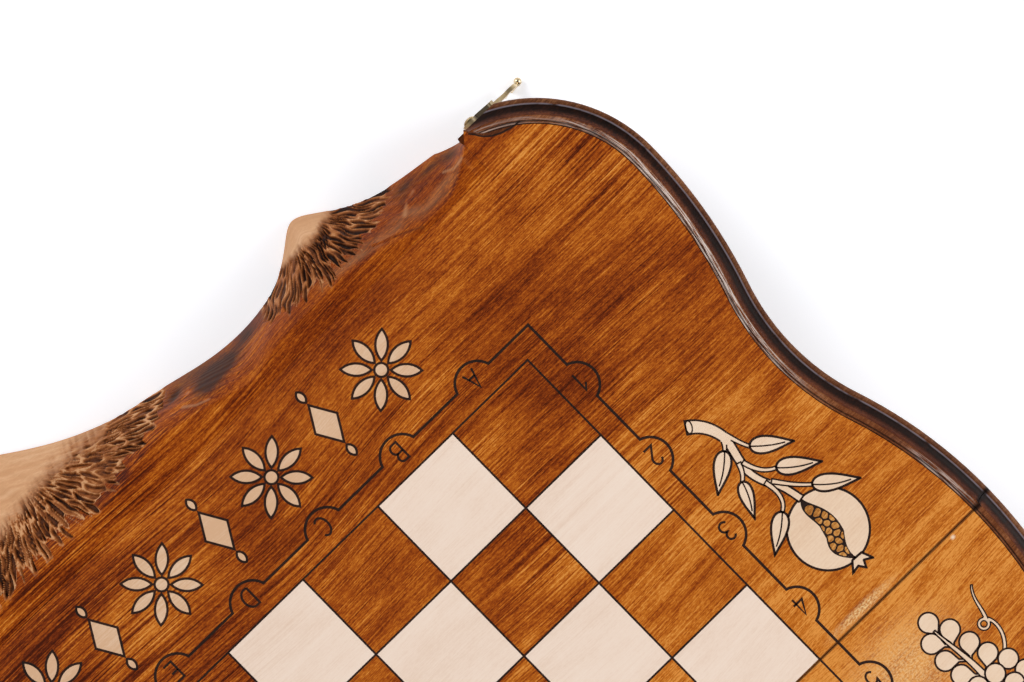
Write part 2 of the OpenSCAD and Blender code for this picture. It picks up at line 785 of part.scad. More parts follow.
playing_panel(1);  // near_playing_panel
left_side(hook_z);  // near_left_side
right() left_side(hook_z);  // near_right_side
mountain_front();  // near_mountain_front
spine_rail();  // near_spine
top_inlay("linen") light_squares_2d(1, 0);  // near_light_squares
top_inlay("wheat") rosette_band_2d(0);  // near_rosette_band
top_inlay("wheat") pomegranate_2d(0);  // near_left_pomegranate
right() top_inlay("wheat") pomegranate_2d(0);  // near_right_pomegranate
inner_inlay("linen") points_2d(0, 0);  // near_light_points
inner_inlay("brown") points_2d(1, 0);  // near_dark_points
far() playing_panel(0);  // far_playing_panel
far() left_side(catch_z);  // far_left_side
far() right() left_side(catch_z);  // far_right_side
far() mountain_front();  // far_mountain_front
far() spine_rail();  // far_spine
far() top_inlay("linen") light_squares_2d(0, 0);  // far_light_squares
far() top_inlay("wheat") rosette_band_2d(0);  // far_rosette_band
far() top_inlay("wheat") grapes_2d(0);  // far_left_grapes
far() right() top_inlay("wheat") grapes_2d(0);  // far_right_grapes
far() inner_inlay("linen") points_2d(0, 0);  // far_light_points
far() inner_inlay("brown") points_2d(1, 0);  // far_dark_points
translate([-hinge_x, 0, 0]) hinge_leaf(0);  // left_hinge_near_leaf
translate([-hinge_x, 0, 0]) far() hinge_leaf(1);  // left_hinge_far_leaf
translate([-hinge_x, 0, 0]) hinge_pin();  // left_hinge_pin
translate([hinge_x, 0, 0]) hinge_leaf(0);  // right_hinge_near_leaf
translate([hinge_x, 0, 0]) far() hinge_leaf(1);  // right_hinge_far_leaf
translate([hinge_x, 0, 0]) hinge_pin();  // right_hinge_pin
hinge_screws();  // near_hinge_screws
far() hinge_screws();  // far_hinge_screws
hook_plate(-hook_x);  // left_hook_plate
hook_rivet(-hook_x);  // left_hook_rivet
right() hung_arm(hook_x);  // left_hook_arm
hook_plate(hook_x);  // right_hook_plate
hook_rivet(hook_x);  // right_hook_rivet
hung_arm(hook_x);  // right_hook_arm
far() catch_plate(-hook_x);  // left_catch_plate
far() catch_stud(-hook_x);  // left_catch_stud
far() catch_plate(hook_x);  // right_catch_plate
far() catch_stud(hook_x);  // right_catch_stud
plate_pins(hook_z);  // hook_plate_pins
far() plate_pins(catch_z);  // catch_plate_pins
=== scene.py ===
# %% [markdown]
# # A folding chess and backgammon board
# Two shallow trays of stained wood are hinged together. Opened flat they make one large
# playing face: squares of pale wood let into a stained panel, lines burnt round them, an
# inlaid pomegranate on each side and a mountain range carved on the front edge. The solid
# parts come from the CAD frame, so this script gives them their finish, carves the fine
# gouge marks, burns the lines, sets up the light and points the camera.

import math

import bpy
import numpy as np
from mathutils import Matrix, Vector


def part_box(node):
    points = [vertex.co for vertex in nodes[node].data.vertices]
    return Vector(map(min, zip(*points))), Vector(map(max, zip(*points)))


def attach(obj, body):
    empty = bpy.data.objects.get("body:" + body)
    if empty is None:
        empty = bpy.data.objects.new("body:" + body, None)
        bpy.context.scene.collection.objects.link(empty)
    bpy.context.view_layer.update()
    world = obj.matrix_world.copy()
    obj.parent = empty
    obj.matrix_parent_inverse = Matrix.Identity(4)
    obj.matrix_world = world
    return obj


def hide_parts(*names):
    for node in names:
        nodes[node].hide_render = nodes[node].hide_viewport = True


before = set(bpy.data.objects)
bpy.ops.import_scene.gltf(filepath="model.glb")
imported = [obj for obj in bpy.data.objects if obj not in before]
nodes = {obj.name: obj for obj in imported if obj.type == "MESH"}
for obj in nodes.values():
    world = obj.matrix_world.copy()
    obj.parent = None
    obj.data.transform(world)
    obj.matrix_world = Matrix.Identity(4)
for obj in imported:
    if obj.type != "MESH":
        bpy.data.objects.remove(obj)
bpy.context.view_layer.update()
MM = 0.001

# %% [markdown]
# ## A few helpers for materials
# Every finish here is a small network of shader nodes. Typing out each node and each link
# makes long code, so these helpers add one node at a time: an input that is given a socket
# is linked, and an input that is given a number or a colour is simply set.


# %% Adding a node
def add(tree, kind, inputs=None, **settings):
    """Adds one node. A socket among the inputs is linked, and any other value is set."""
    node = tree.nodes.new(kind)
    for key, value in settings.items():
        setattr(node, key, value)
    for key, value in (inputs or {}).items():
        if isinstance(value, bpy.types.NodeSocket):
            tree.links.new(value, node.inputs[key])
        else:
            node.inputs[key].default_value = value
    return node


def paint(red, green, blue):
    """The linear colour of a paint that shows on screen as the given values from 0 to 255."""
    screen = np.array([red, green, blue]) / 255
    linear = np.where(screen <= 0.04045, screen / 12.92, ((screen + 0.055) / 1.055) ** 2.4)
    return (*linear.tolist(), 1.0)


print("a paint of middle brightness is linear", round(paint(128, 128, 128)[0], 3))

# %% [markdown]
# ### Arithmetic in a material
# A mask in a material is a number worked out for each point of the surface, in small steps:
# a product, a sum, one coordinate of a place. In Blender each step is a Math or Vector Math
# node. With a short name for each, a mask can be read like a formula.


# %% Sums, products and coordinates
def maths(tree, operation, first, second=0.0, clamp=False):
    """One step of arithmetic on two numbers."""
    return add(tree, "ShaderNodeMath", {0: first, 1: second}, operation=operation,
               use_clamp=clamp).outputs[0]


def times(tree, first, second, clamp=False):
    """The product of two numbers."""
    return maths(tree, "MULTIPLY", first, second, clamp)


def plus(tree, first, second, clamp=False):
    """The sum of two numbers."""
    return maths(tree, "ADD", first, second, clamp)


def less(tree, first, second):
    """The first number less the second."""
    return maths(tree, "SUBTRACT", first, second)


def vectors(tree, operation, first, second=None, result="Vector"):
    """One step of arithmetic on two vectors. The distance and the length are its Value."""
    given = {0: first} if second is None else {0: first, 1: second}
    return add(tree, "ShaderNodeVectorMath", given, operation=operation).outputs[result]


def along(tree, place, axis):
    """One coordinate of a place."""
    return add(tree, "ShaderNodeSeparateXYZ", {0: place}).outputs[axis]


print("short names for steps:", [step.__name__ for step in (maths, times, plus, less, vectors, along)])

# %% [markdown]
# ### Soft steps, noise and colour scales
# Hardly anything on wood has a sharp edge, so a mask usually fades. Noise is stretched by
# scaling the place that it reads, and a colour ramp turns a number into a colour.


# %% Fades, noise and ramps
def fade(tree, value, low, high):
    """0 below low, 1 above high, and a soft step between. With low above high it runs down."""
    return add(tree, "ShaderNodeMapRange", {"Value": value, "From Min": low, "From Max": high},
               interpolation_type="SMOOTHSTEP").outputs[0]


def mixed(tree, factor, first, second):
    """Two colours mixed by a factor: 0 gives the first and 1 the second."""
    return add(tree, "ShaderNodeMix", {0: factor, 6: first, 7: second}, data_type="RGBA").outputs[2]


def stretched(tree, place, scale, turn=0.0):
    """The place turned about the upright axis by so many degrees, then scaled."""
    turned = add(tree, "ShaderNodeMapping",
                 {"Vector": place, "Rotation": (0, 0, math.radians(turn))}).outputs[0]
    return add(tree, "ShaderNodeMapping", {"Vector": turned, "Scale": scale}).outputs[0]


def noise(tree, place, scale=1.0, detail=2.0, roughness=0.5):
    """Cloudy values around a half, with features about 1 / scale metres across."""
    return add(tree, "ShaderNodeTexNoise", {"Vector": place, "Scale": scale, "Detail": detail,
                                            "Roughness": roughness}).outputs[0]


def ramp(tree, value, stops):
    """A colour read from a scale of (position, colour) stops."""
    node = add(tree, "ShaderNodeValToRGB", {0: value})
    scale = node.color_ramp
    while len(scale.elements) < len(stops):
        scale.elements.new(0.5)
    for element, (position, colour) in zip(scale.elements, stops):
        element.position = position
        element.color = colour
    return node.outputs[0]


def sum_of(tree, start, weighted):
    """start plus each signal's distance from a half times its weight."""
    total = start
    for signal, weight in weighted:
        centred = less(tree, signal, 0.5)
        total = plus(tree, total, times(tree, centred, weight))
    return total


print("helpers for looks:", [step.__name__ for step in (fade, mixed, stretched, noise, ramp, sum_of)])

# %% [markdown]
# ### New materials and where a point lies
# A pattern that reads Object coordinates stays on the wood when a half is folded. The two
# halves mirror each other about the fold, and left mirrors right, so many masks only ask
# how far a point is from the fold or from the middle line.


# %% New materials and places
def new_group(name, inputs, outputs):
    """An empty shader group with named sockets, and its inner input and output sockets."""
    tree = bpy.data.node_groups.new(name, "ShaderNodeTree")
    for label, kind, value in inputs:
        socket = tree.interface.new_socket(label, in_out="INPUT", socket_type=kind)
        if value is not None:
            socket.default_value = value
    for label, kind in outputs:
        tree.interface.new_socket(label, in_out="OUTPUT", socket_type=kind)
    return tree, tree.nodes.new("NodeGroupInput").outputs, tree.nodes.new("NodeGroupOutput").inputs


def new_material(name):
    """A material with an empty Principled BSDF, its tree and its shader node."""
    material = bpy.data.materials.new(name)
    material.use_nodes = True
    tree = material.node_tree
    return material, tree, tree.nodes["Principled BSDF"]


def place_in(tree):
    """The place on the object in metres. It doesn't slide when a part moves."""
    return add(tree, "ShaderNodeTexCoord").outputs["Object"]


def from_fold(tree, place):
    """How far a place is from the fold, on either side of it."""
    return maths(tree, "ABSOLUTE", along(tree, place, "Y"))


def from_middle(tree, place):
    """How far a place is from the middle line of the board, to the left or the right."""
    return maths(tree, "ABSOLUTE", along(tree, place, "X"))


print("materials so far:", len(bpy.data.materials))

# %% [markdown]
# ## The grain of the wood
# Sawn and stained wood shows several things at once: dark and golden streaks a millimetre
# or two wide that run for a finger's length, fine fibres, flecks, wider bands and cloudy
# patches where the stain soaked in deeper. One shader group makes them all from stretched
# noise, because every wooden part needs them, only with other strengths. The grain runs
# along X and wanders a little, so the place is bent before it is stretched. The far half
# was cut from another board, so there the place is first moved far away.

# %% The grain group
NUMBER, VECTOR = "NodeSocketFloat", "NodeSocketVector"
GRAIN_TURN, WANDER, FAR_BOARD = -1.5, 0.03, (0.37, 0.113, 0.0)
grain, given, gives = new_group(
    "sawn grain",
    [("Place", VECTOR, None), ("Streaks", NUMBER, 1.0), ("Flecks", NUMBER, 1.0),
     ("Bands", NUMBER, 1.0), ("Clouds", NUMBER, 1.0)],
    [("Tone", NUMBER), ("Height", NUMBER)])

beyond = maths(grain, "GREATER_THAN", along(grain, given["Place"], "Y"), 0.0)
jump = add(grain, "ShaderNodeVectorMath", {0: FAR_BOARD, "Scale": beyond}, operation="SCALE")
turned = stretched(grain, vectors(grain, "ADD", given["Place"], jump.outputs[0]), (1, 1, 1), GRAIN_TURN)
wander = times(grain, less(grain, noise(grain, turned, 5.0, 1.0), 0.5), WANDER)
bent = vectors(grain, "ADD", turned, add(grain, "ShaderNodeCombineXYZ", {1: wander}).outputs[0])


def grain_noise(per_metre, across, detail=1.0, roughness=0.5):
    """Noise drawn out along the grain, with so many features to the metre along and across."""
    return noise(grain, stretched(grain, bent, (per_metre, across, across)), 1.0, detail, roughness)


streaks, broad_streaks = grain_noise(9, 1050, 2.0, 0.65), grain_noise(7, 290, 2.0, 0.6)
fibres, flecks = grain_noise(45, 2300), grain_noise(620, 1900, 2.0, 0.7)
bands, clouds, mottle = grain_noise(4, 60), grain_noise(16, 30, 3.0, 0.6), grain_noise(50, 125, 3.0, 0.7)
dark_lines = fade(grain, grain_noise(5, 330), 0.60, 0.72)
strong_here = plus(grain, times(grain, fade(grain, grain_noise(8, 14), 0.36, 0.66), 1.05), 0.45)
calmer = plus(grain, times(grain, fade(grain, from_fold(grain, given["Place"]), 0.03, 0.16), 0.5), 0.5)
streak_power = times(grain, times(grain, strong_here, calmer), given["Streaks"])

tone = sum_of(grain, 0.5, [(signal, times(grain, power, weight)) for signal, power, weight in (
    (streaks, streak_power, 1.15), (broad_streaks, streak_power, 0.4),
    (fibres, given["Flecks"], 0.8), (flecks, given["Flecks"], 0.95),
    (bands, given["Bands"], 0.3), (mottle, given["Clouds"], 0.55), (clouds, given["Clouds"], 0.85))])
tone = less(grain, tone, times(grain, times(grain, dark_lines, streak_power), 0.2))
grain.links.new(tone, gives["Tone"])
grain.links.new(plus(grain, times(grain, fibres, 0.6), streaks), gives["Height"])
print("grain group nodes:", len(grain.nodes))


# %% [markdown]
# ## Wood finishes
# A stained panel, the natural pale wood of the light squares and the dark rails differ in
# colour scale and gloss, but not in kind. So one function builds a wood: it reads the grain
# group, turns its tone into colour through a scale of stops and lets the same grain move
# the roughness and a very small bump. The varnish is a thin clear coat.

# %% Wood
STAIN = [(0.00, paint(66, 19, 1)), (0.25, paint(112, 41, 2)), (0.50, paint(156, 72, 7)),
         (0.75, paint(194, 109, 26)), (1.00, paint(222, 146, 64))]
PALE = [(0.0, paint(221, 189, 164)), (0.5, paint(240, 217, 199)), (1.0, paint(247, 230, 215))]
CREAM = [(0.0, paint(214, 172, 136)), (0.5, paint(235, 206, 178)), (1.0, paint(244, 223, 200))]
UMBER = [(0.0, paint(24, 11, 5)), (0.5, paint(62, 30, 14)), (1.0, paint(98, 54, 28))]


def grain_of(tree, place, streaks=1.0, flecks=1.0, bands=1.0, clouds=1.0):
    """The grain group placed in a material, with its own strengths."""
    node = add(tree, "ShaderNodeGroup", node_tree=grain)
    tree.links.new(place, node.inputs["Place"])
    for label, value in (("Streaks", streaks), ("Flecks", flecks), ("Bands", bands), ("Clouds", clouds)):
        node.inputs[label].default_value = value
    return node.outputs


def three_tones(tree, tone, dark, middle, light):
    """A colour from three paints, dark to light, as the tone rises."""
    return ramp(tree, tone, [(0.1, paint(*dark)), (0.5, paint(*middle)), (0.9, paint(*light))])


def varnish(tree, shader, grained, colour, gloss, coat, shine=0.2, bump_mm=0.03):
    """Links a colour to the shader, with grain in the roughness and bump, under a coat."""
    tree.links.new(colour, shader.inputs["Base Color"])
    uneven = times(tree, less(tree, grained["Tone"], 0.5), 0.12)
    tree.links.new(plus(tree, uneven, gloss), shader.inputs["Roughness"])
    bump = add(tree, "ShaderNodeBump", {"Strength": 1.0, "Distance": bump_mm * MM,
                                        "Height": grained["Height"]}).outputs[0]
    tree.links.new(bump, shader.inputs["Normal"])
    shader.inputs["Coat Weight"].default_value = coat
    shader.inputs["Coat Roughness"].default_value = 0.22
    shader.inputs["Specular IOR Level"].default_value = shine


def wood(name, stops, gloss, coat, **strengths):
    """A varnished wood whose colour runs through the stops as the grain's tone rises."""
    material, tree, shader = new_material(name)
    grained = grain_of(tree, place_in(tree), **strengths)
    varnish(tree, shader, grained, ramp(tree, grained["Tone"], stops), gloss, coat)
    return material


rail_wood = wood("stained inner wood", STAIN, 0.5, 0.1, clouds=0.7)
pale_wood = wood("pale squares", PALE, 0.45, 0.05, streaks=0.3, flecks=0.4, bands=0.6, clouds=0.6)
dark_inlay = wood("dark inlay", UMBER, 0.45, 0.2, clouds=0.6)
print("woods:", [m.name for m in (rail_wood, pale_wood, dark_inlay)])

# %% [markdown]
# ### Where the stain lies thicker, and painted light
# Some things on the panel have a place. The panel is lighter towards the fold and darker by
# the front edge, as painted light and shade; the stain lies thick in one cloudy patch beside
# the squares; and beside the joint line and in one soft spot worn varnish carries a painted
# sheen. A soft spot is a distance from its centre, stretched on each axis, turned into a
# number that fades from 1 to 0.


# %% Soft spots and the stain
def spot(tree, place, x, y, wide, tall):
    """1 at a place given in millimetres, fading to 0 at the edge of an ellipse round it."""
    centred = add(tree, "ShaderNodeMapping", {
        "Vector": place, "Location": (-x / wide, -y / tall, 0),
        "Scale": (1 / (wide * MM), 1 / (tall * MM), 0)}).outputs[0]
    return fade(tree, vectors(tree, "LENGTH", centred, result="Value"), 1.0, 0.0)


def stain_and_light_tone(tree, place, grained):
    """The grain's tone, lighter by the fold as painted light, darker by the front edge as painted shade, and
    darker in one patch of thick stain.
    """
    # Painted light, lighter towards the fold, and painted shade, darker by the front edge.
    near_fold = fade(tree, from_fold(tree, place), 0.15, 0.0)
    tone = plus(tree, grained["Tone"], times(tree, near_fold, 0.34))
    front_edge = times(tree, fade(tree, from_fold(tree, place), 0.2, 0.25),
                       fade(tree, from_middle(tree, place), 0.25, 0.18))
    tone = less(tree, tone, times(tree, front_edge, 0.11))
    return less(tree, tone, times(tree, spot(tree, place, -218, -168, 80, 55), 0.13))


def worn_sheen_places(tree, place):
    """Worn varnish with a painted sheen: a thin streak along the seam and a wide soft spot."""
    specks = fade(tree, noise(tree, stretched(tree, place, (900, 1500, 900)), 1.0, 1.0), 0.38, 0.66)
    worn_with_sheen = plus(tree, spot(tree, place, -208, -3.2, 26, 3.4),
                times(tree, spot(tree, place, -204, 30, 42, 30), 0.62), clamp=True)
    return times(tree, worn_with_sheen, plus(tree, times(tree, specks, 0.75), 0.2))


def corner_area(tree, place):
    """1 in the dark flare at each corner, where the rail's stain runs out over the panel."""
    folded = vectors(tree, "ABSOLUTE", place)
    flat = vectors(tree, "MULTIPLY", folded, (1, 1, 0))
    away = vectors(tree, "DISTANCE", flat, (0.244, 0.275, 0), "Value")
    lean = times(tree, less(tree, along(tree, folded, "X"), 0.230), 0.2)
    return fade(tree, less(tree, away, lean), 0.0164, 0.0158)


print("soft spots and stain masks ready")

# %% The panel and the cream inlay
stained_panel, tree, shader = new_material("stained panel")
place = place_in(tree)
grained = grain_of(tree, place)
colour = ramp(tree, stain_and_light_tone(tree, place, grained), STAIN)
# Worn varnish with a painted sheen, beside the seam and in one soft spot.
colour = mixed(tree, worn_sheen_places(tree, place), colour, paint(242, 206, 148))
joint_line = times(tree, fade(tree, from_fold(tree, place), 0.0009, 0.0005), 0.75)
colour = mixed(tree, joint_line, colour, paint(48, 20, 8))
chip = spot(tree, place, -257.6, 2.2, 1.7, 1.4)
colour = mixed(tree, chip, colour, paint(240, 214, 186))
corner_stain = three_tones(tree, grained["Tone"], (56, 24, 9), (92, 46, 20), (130, 78, 40))
colour = mixed(tree, corner_area(tree, place), colour, corner_stain)
varnish(tree, shader, grained, colour, 0.42, 0.05)
print("panel nodes:", len(tree.nodes))

cream_inlay, tree, shader = new_material("cream inlay")
place = place_in(tree)
grained = grain_of(tree, place, streaks=0.3, flecks=0.4, bands=0.5, clouds=0.6)
by_the_front = fade(tree, from_fold(tree, place), 0.17, 0.2)
tone = less(tree, grained["Tone"], times(tree, by_the_front, 0.45))
varnish(tree, shader, grained, ramp(tree, tone, CREAM), 0.45, 0.05)

# %% [markdown]
# ## The dark rails
# The rail round the board is moulded: a flat land with a fine groove, a deep hollow and a
# round bead. Its stain is thick and almost black in the hollow and brown on the land. The
# hollow's upper flank is lighter, as painted light, and a thin grey line where the hollow
# ends in a lip is a painted highlight. So the colour has to know how far inside the outline
# a point lies. The outline is a chain of four arcs, and the distance inside an arc is its
# radius less the distance to its centre, or the reverse where the arc curves inwards.

# %% How far inside the outline
rail_low, rail_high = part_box("near_left_side")
top = rail_high.z


def outline_arcs(bulge_half, bulge_r, waist_r, lobe_r, corner_r, bulge_turn=19, lobe_turn=18):
    """Centre, radius, bulge sign and first Y of each arc, in millimetres. Each arc is
    tangent to the one before, so the centres lie one sum or difference of radii apart."""
    b, l = math.radians(bulge_turn), math.radians(lobe_turn)
    c1 = np.array([bulge_half - bulge_r, 0.0])
    c2 = c1 + (bulge_r + waist_r) * np.array([math.cos(b), math.sin(b)])
    c3 = c2 + (waist_r + lobe_r) * np.array([-math.cos(l), math.sin(l)])
    c4 = c3 + (lobe_r - corner_r, 0)
    starts = [0.0, bulge_r * math.sin(b), c2[1] + waist_r * math.sin(l), c3[1]]
    return [(*c1, bulge_r, 1, starts[0]), (*c2, waist_r, -1, starts[1]),
            (*c3, lobe_r, 1, starts[2]), (*c4, corner_r, 1, starts[3])]


ARCS = outline_arcs(284.2, 213.2, 105.8, 233.2, 70.2)


def inside_outline(tree, place):
    """The distance inside the outline in millimetres, from the arc that rules at this Y."""
    flat = vectors(tree, "MULTIPLY", vectors(tree, "ABSOLUTE", place), (1000, 1000, 0))
    along_side = along(tree, flat, "Y")
    depth = None
    for cx, cy, radius, bulges, begins in ARCS:
        away = vectors(tree, "DISTANCE", flat, (cx, cy, 0), "Value")
        here = less(tree, radius, away) if bulges > 0 else less(tree, away, radius)
        if depth is None:
            depth = here
        else:
            chosen = maths(tree, "GREATER_THAN", along_side, begins)
            depth = plus(tree, depth, times(tree, less(tree, here, depth), chosen))
    return depth


def band_of(tree, value, low, high, soft):
    """1 where the value lies between low and high, with soft ends."""
    return times(tree, fade(tree, value, low - soft, low + soft),
                 fade(tree, value, high + soft, high - soft))


print("arc centres and starts:", [tuple(round(float(v), 1) for v in row) for row in ARCS])

# %% [markdown]
# ### Colours across the moulding
# The depth inside the outline picks the colour: bead, hollow, flank lit by painted light,
# land, and the plain stain further in. Over them lie a frosty painted sheen on the land,
# which follows the rail, a painted grey highlight on the lip of the bead, two fine lines,
# painted shade in the gap at the seam, and at each front corner the plain stain, darker
# towards the front as painted shade.

# %% Rail finish
dark_rail, tree, shader = new_material("dark rail")
place = place_in(tree)
grained = grain_of(tree, place, streaks=0.8, bands=0.5, clouds=1.1)
depth, height = inside_outline(tree, place), along(tree, place, "Z")
bead = three_tones(tree, grained["Tone"], (70, 38, 22), (104, 62, 38), (140, 94, 62))
hollow = three_tones(tree, grained["Tone"], (16, 7, 4), (30, 13, 7), (48, 22, 11))
# Painted light: the hollow's upper flank is a lighter brown than its bottom.
flank = three_tones(tree, grained["Tone"], (50, 20, 9), (86, 40, 19), (120, 66, 36))
land = three_tones(tree, grained["Tone"], (72, 34, 16), (112, 62, 34), (150, 98, 62))
inner = ramp(tree, grained["Tone"], STAIN)
colour = mixed(tree, fade(tree, depth, 2.3, 2.8), bead, hollow)
colour = mixed(tree, fade(tree, depth, 5.2, 7.6), colour, flank)
colour = mixed(tree, fade(tree, depth, 8.2, 8.6), colour, land)

# Painted sheen: frosty pale streaks on the land that run along the rail.
across_rail = add(tree, "ShaderNodeCombineXYZ", {0: times(tree, depth, 2.2)}).outputs[0]
on_the_way = vectors(tree, "MULTIPLY", place, (90, 90, 90))
frost_sheen = fade(tree, noise(tree, vectors(tree, "ADD", across_rail, on_the_way), 1.0, 3.0, 0.65), 0.44, 0.58)
where_frost_sheen = times(tree, fade(tree, noise(tree, place, 22, 1.0), 0.46, 0.60), 0.55)
where_frost_sheen = maths(tree, "MAXIMUM", where_frost_sheen, band_of(tree, from_fold(tree, place), 0.10, 0.225, 0.03))
frost_sheen = times(tree, times(tree, frost_sheen, where_frost_sheen), band_of(tree, depth, 8.9, 11.9, 0.3))
colour = mixed(tree, times(tree, frost_sheen, 0.9), colour, paint(222, 206, 196))
# Painted highlight: a thin grey line on the lip where the hollow meets the bead.
lip = times(tree, band_of(tree, depth, 2.4, 3.0, 0.25), fade(tree, noise(tree, place, 160, 2.0), 0.25, 0.5))
colour = mixed(tree, times(tree, lip, 0.7), colour, paint(136, 126, 134))

lines = maths(tree, "MAXIMUM", band_of(tree, depth, 10.6, 11.1, 0.2), band_of(tree, depth, 11.8, 12.5, 0.2))
on_top = fade(tree, height, top - 0.0015, top - 0.0005)
colour = mixed(tree, times(tree, times(tree, lines, on_top), 0.85), colour, paint(30, 13, 7))
below_bead = fade(tree, height, top - 0.0098, top - 0.0106)
colour = mixed(tree, times(tree, below_bead, 0.6), colour, paint(50, 26, 15))
colour = mixed(tree, fade(tree, depth, 12.5, 13.0), colour, inner)
# At each front corner the plain stain, darker towards the front as painted shade.
corner_tone = mixed(tree, fade(tree, from_fold(tree, place), 0.261, 0.270), inner, paint(84, 44, 22))
corner = times(tree, fade(tree, from_middle(tree, place), 0.2325, 0.2315),
               fade(tree, from_fold(tree, place), 0.260, 0.261))
colour = mixed(tree, corner, colour, corner_tone)
# Painted shade: almost black in the gap where the two halves meet.
seam = times(tree, fade(tree, from_fold(tree, place), 0.0021, 0.0005), fade(tree, depth, 12.4, 11.6))
colour = mixed(tree, times(tree, seam, 0.9), colour, paint(18, 8, 5))
varnish(tree, shader, grained, colour, 0.42, 0.0, shine=0.1)
print("rail top at", round(top / MM, 2), "mm")

# %% [markdown]
# ## Burnt lines and brass
# The lines between the squares are burnt into the wood, so they are almost black and dull.
# The hook, the hinges and their pins are brass that has aged: the bright metal shows where
# fingers rub it, towards the knob of each hook, and brown patina stays on the rest.

# %% Burnt wood and brass
burnt, tree, shader = new_material("burnt line")
grained = grain_of(tree, place_in(tree))
colour = ramp(tree, grained["Tone"], [(0.2, paint(24, 10, 5)), (0.8, paint(50, 25, 13))])
varnish(tree, shader, grained, colour, 0.6, 0.0)


def aged_brass(name, bright, dull, dark_from=None, dark_to=None):
    """Brass under patchy patina. Between two distances from the middle it is nearly black."""
    material, tree, shader = new_material(name)
    place = place_in(tree)
    patina = fade(tree, noise(tree, place, 140, 4.0, 0.6), 0.38, 0.68)
    scratches = noise(tree, stretched(tree, place, (300, 5000, 300), 30), 1.0, 2.0, 0.6)
    colour = mixed(tree, patina, bright, dull)
    if dark_from:
        tarnish = band_of(tree, from_middle(tree, place), dark_from * MM, dark_to * MM, 0.8 * MM)
        colour = mixed(tree, times(tree, tarnish, 0.9), colour, paint(62, 50, 38))
    tree.links.new(colour, shader.inputs["Base Color"])
    tree.links.new(plus(tree, times(tree, patina, 0.22), 0.24), shader.inputs["Roughness"])
    bump = add(tree, "ShaderNodeBump", {"Strength": 0.6, "Distance": 0.02 * MM, "Height": scratches})
    tree.links.new(bump.outputs[0], shader.inputs["Normal"])
    shader.inputs["Metallic"].default_value = 1.0
    return material


brass = aged_brass("aged brass", paint(214, 190, 140), paint(148, 120, 78))
hook_brass = aged_brass("hook brass", paint(228, 208, 172), paint(190, 164, 122), 237.5, 246.5)
print("brasses:", brass.name, "and", hook_brass.name)

# %% [markdown]
# ## Finishes on the CAD parts
# A CAD part whose shape is right stays as it is and only gets its material. The names tell
# the material, so a short list of name endings is enough.

# %% Dress the CAD nodes
FINISH_BY_PART = {
    "playing_panel": stained_panel, "side": dark_rail, "spine": rail_wood,
    "mountain_front": rail_wood, "light_squares": pale_wood, "rosette_band": cream_inlay,
    "pomegranate": cream_inlay, "grapes": cream_inlay, "light_points": cream_inlay,
    "dark_points": dark_inlay, "hook_arm": hook_brass,
}
for name, node in nodes.items():
    finish = next((m for part, m in FINISH_BY_PART.items() if name.endswith(part)), brass)
    node.data.materials.clear()
    node.data.materials.append(finish)
print("brass nodes:", [n for n in sorted(nodes) if nodes[n].data.materials[0] == brass])

# %% [markdown]
# ## Helpers for new pieces
# A new piece is a surface worked out with numpy: its points fill a grid, and neighbours in
# the grid are joined by faces. A closed mesh whose volume comes out negative is inside out,
# so its faces are turned.


# %% Faces of a grid
def grid_faces(rows, columns, wrap_rows=False, wrap_columns=False):
    """Four-sided faces between neighbours of a grid, joined round where it wraps."""
    index = np.arange(rows * columns).reshape(rows, columns)
    if wrap_rows:
        index = np.vstack([index, index[:1]])
    if wrap_columns:
        index = np.hstack([index, index[:, :1]])
    corners = [index[:-1, :-1], index[1:, :-1], index[1:, 1:], index[:-1, 1:]]
    return np.stack(corners, -1).reshape(-1, 4).tolist()


def end_faces(total, count):
    """The two faces that close the first and the last ring of count points."""
    return [list(range(count)), list(range(total - 1, total - count - 1, -1))]


def facing_out(points, faces):
    """The faces, turned round if the volume inside them comes out negative.
    The volume is a sixth of the sum, over fans of triangles, of a . (b x c)."""
    fans = np.array([(f[0], f[k], f[k + 1]) for f in faces for k in range(1, len(f) - 1)])
    a, b, c = points[fans[:, 0]], points[fans[:, 1]], points[fans[:, 2]]
    volume = np.einsum("ij,ij->i", a, np.cross(b, c)).sum()
    return faces if volume > 0 else [f[::-1] for f in faces]


print("a tube of 3 rings of 4 points has", len(grid_faces(3, 4, False, True) + end_faces(12, 4)), "faces")

# %% [markdown]
# ### A profile carried along a path
# A burnt line has the same small section all along. So the section is drawn once and carried
# along the line's path: a grid with the path as rows and the section as columns. At a corner
# it has to stand across the line that halves the corner, or the strip would get thinner.


# %% Profile and path
def carried(profile, path, height, closed=False):
    """A closed profile of (sideways, up) carried along a flat path.
    At each point it stands across the line that halves the corner, widened by one over the
    cosine of half the turn, so that the strip keeps its width round corners."""
    ahead = np.roll(path, -1, 0) - path
    behind = path - np.roll(path, 1, 0)
    if not closed:
        ahead[-1], behind[0] = behind[-1], ahead[0]
    left = [np.stack([-d[:, 1], d[:, 0]], 1) / np.linalg.norm(d, axis=1)[:, None]
            for d in (ahead, behind)]
    across = left[0] + left[1]
    across /= np.maximum((across * left[0]).sum(1), 0.3)[:, None]
    flat = path[:, None, :] + across[:, None, :] * profile[None, :, :1]
    up = np.broadcast_to(height + profile[None, :, 1:], flat.shape[:2] + (1,))
    points = np.concatenate([flat, up], -1).reshape(-1, 3)
    rows, columns = len(path), len(profile)
    faces = grid_faces(rows, columns, closed, True)
    if not closed:
        faces += end_faces(len(points), columns)
    return points, facing_out(points, faces)


def piled(parts):
    """Several (points, faces) pairs as one pair."""
    starts = np.cumsum([0] + [len(points) for points, _ in parts])
    faces = [[i + start for i in f] for start, (_, fs) in zip(starts, parts) for f in fs]
    return np.vstack([points for points, _ in parts]), faces


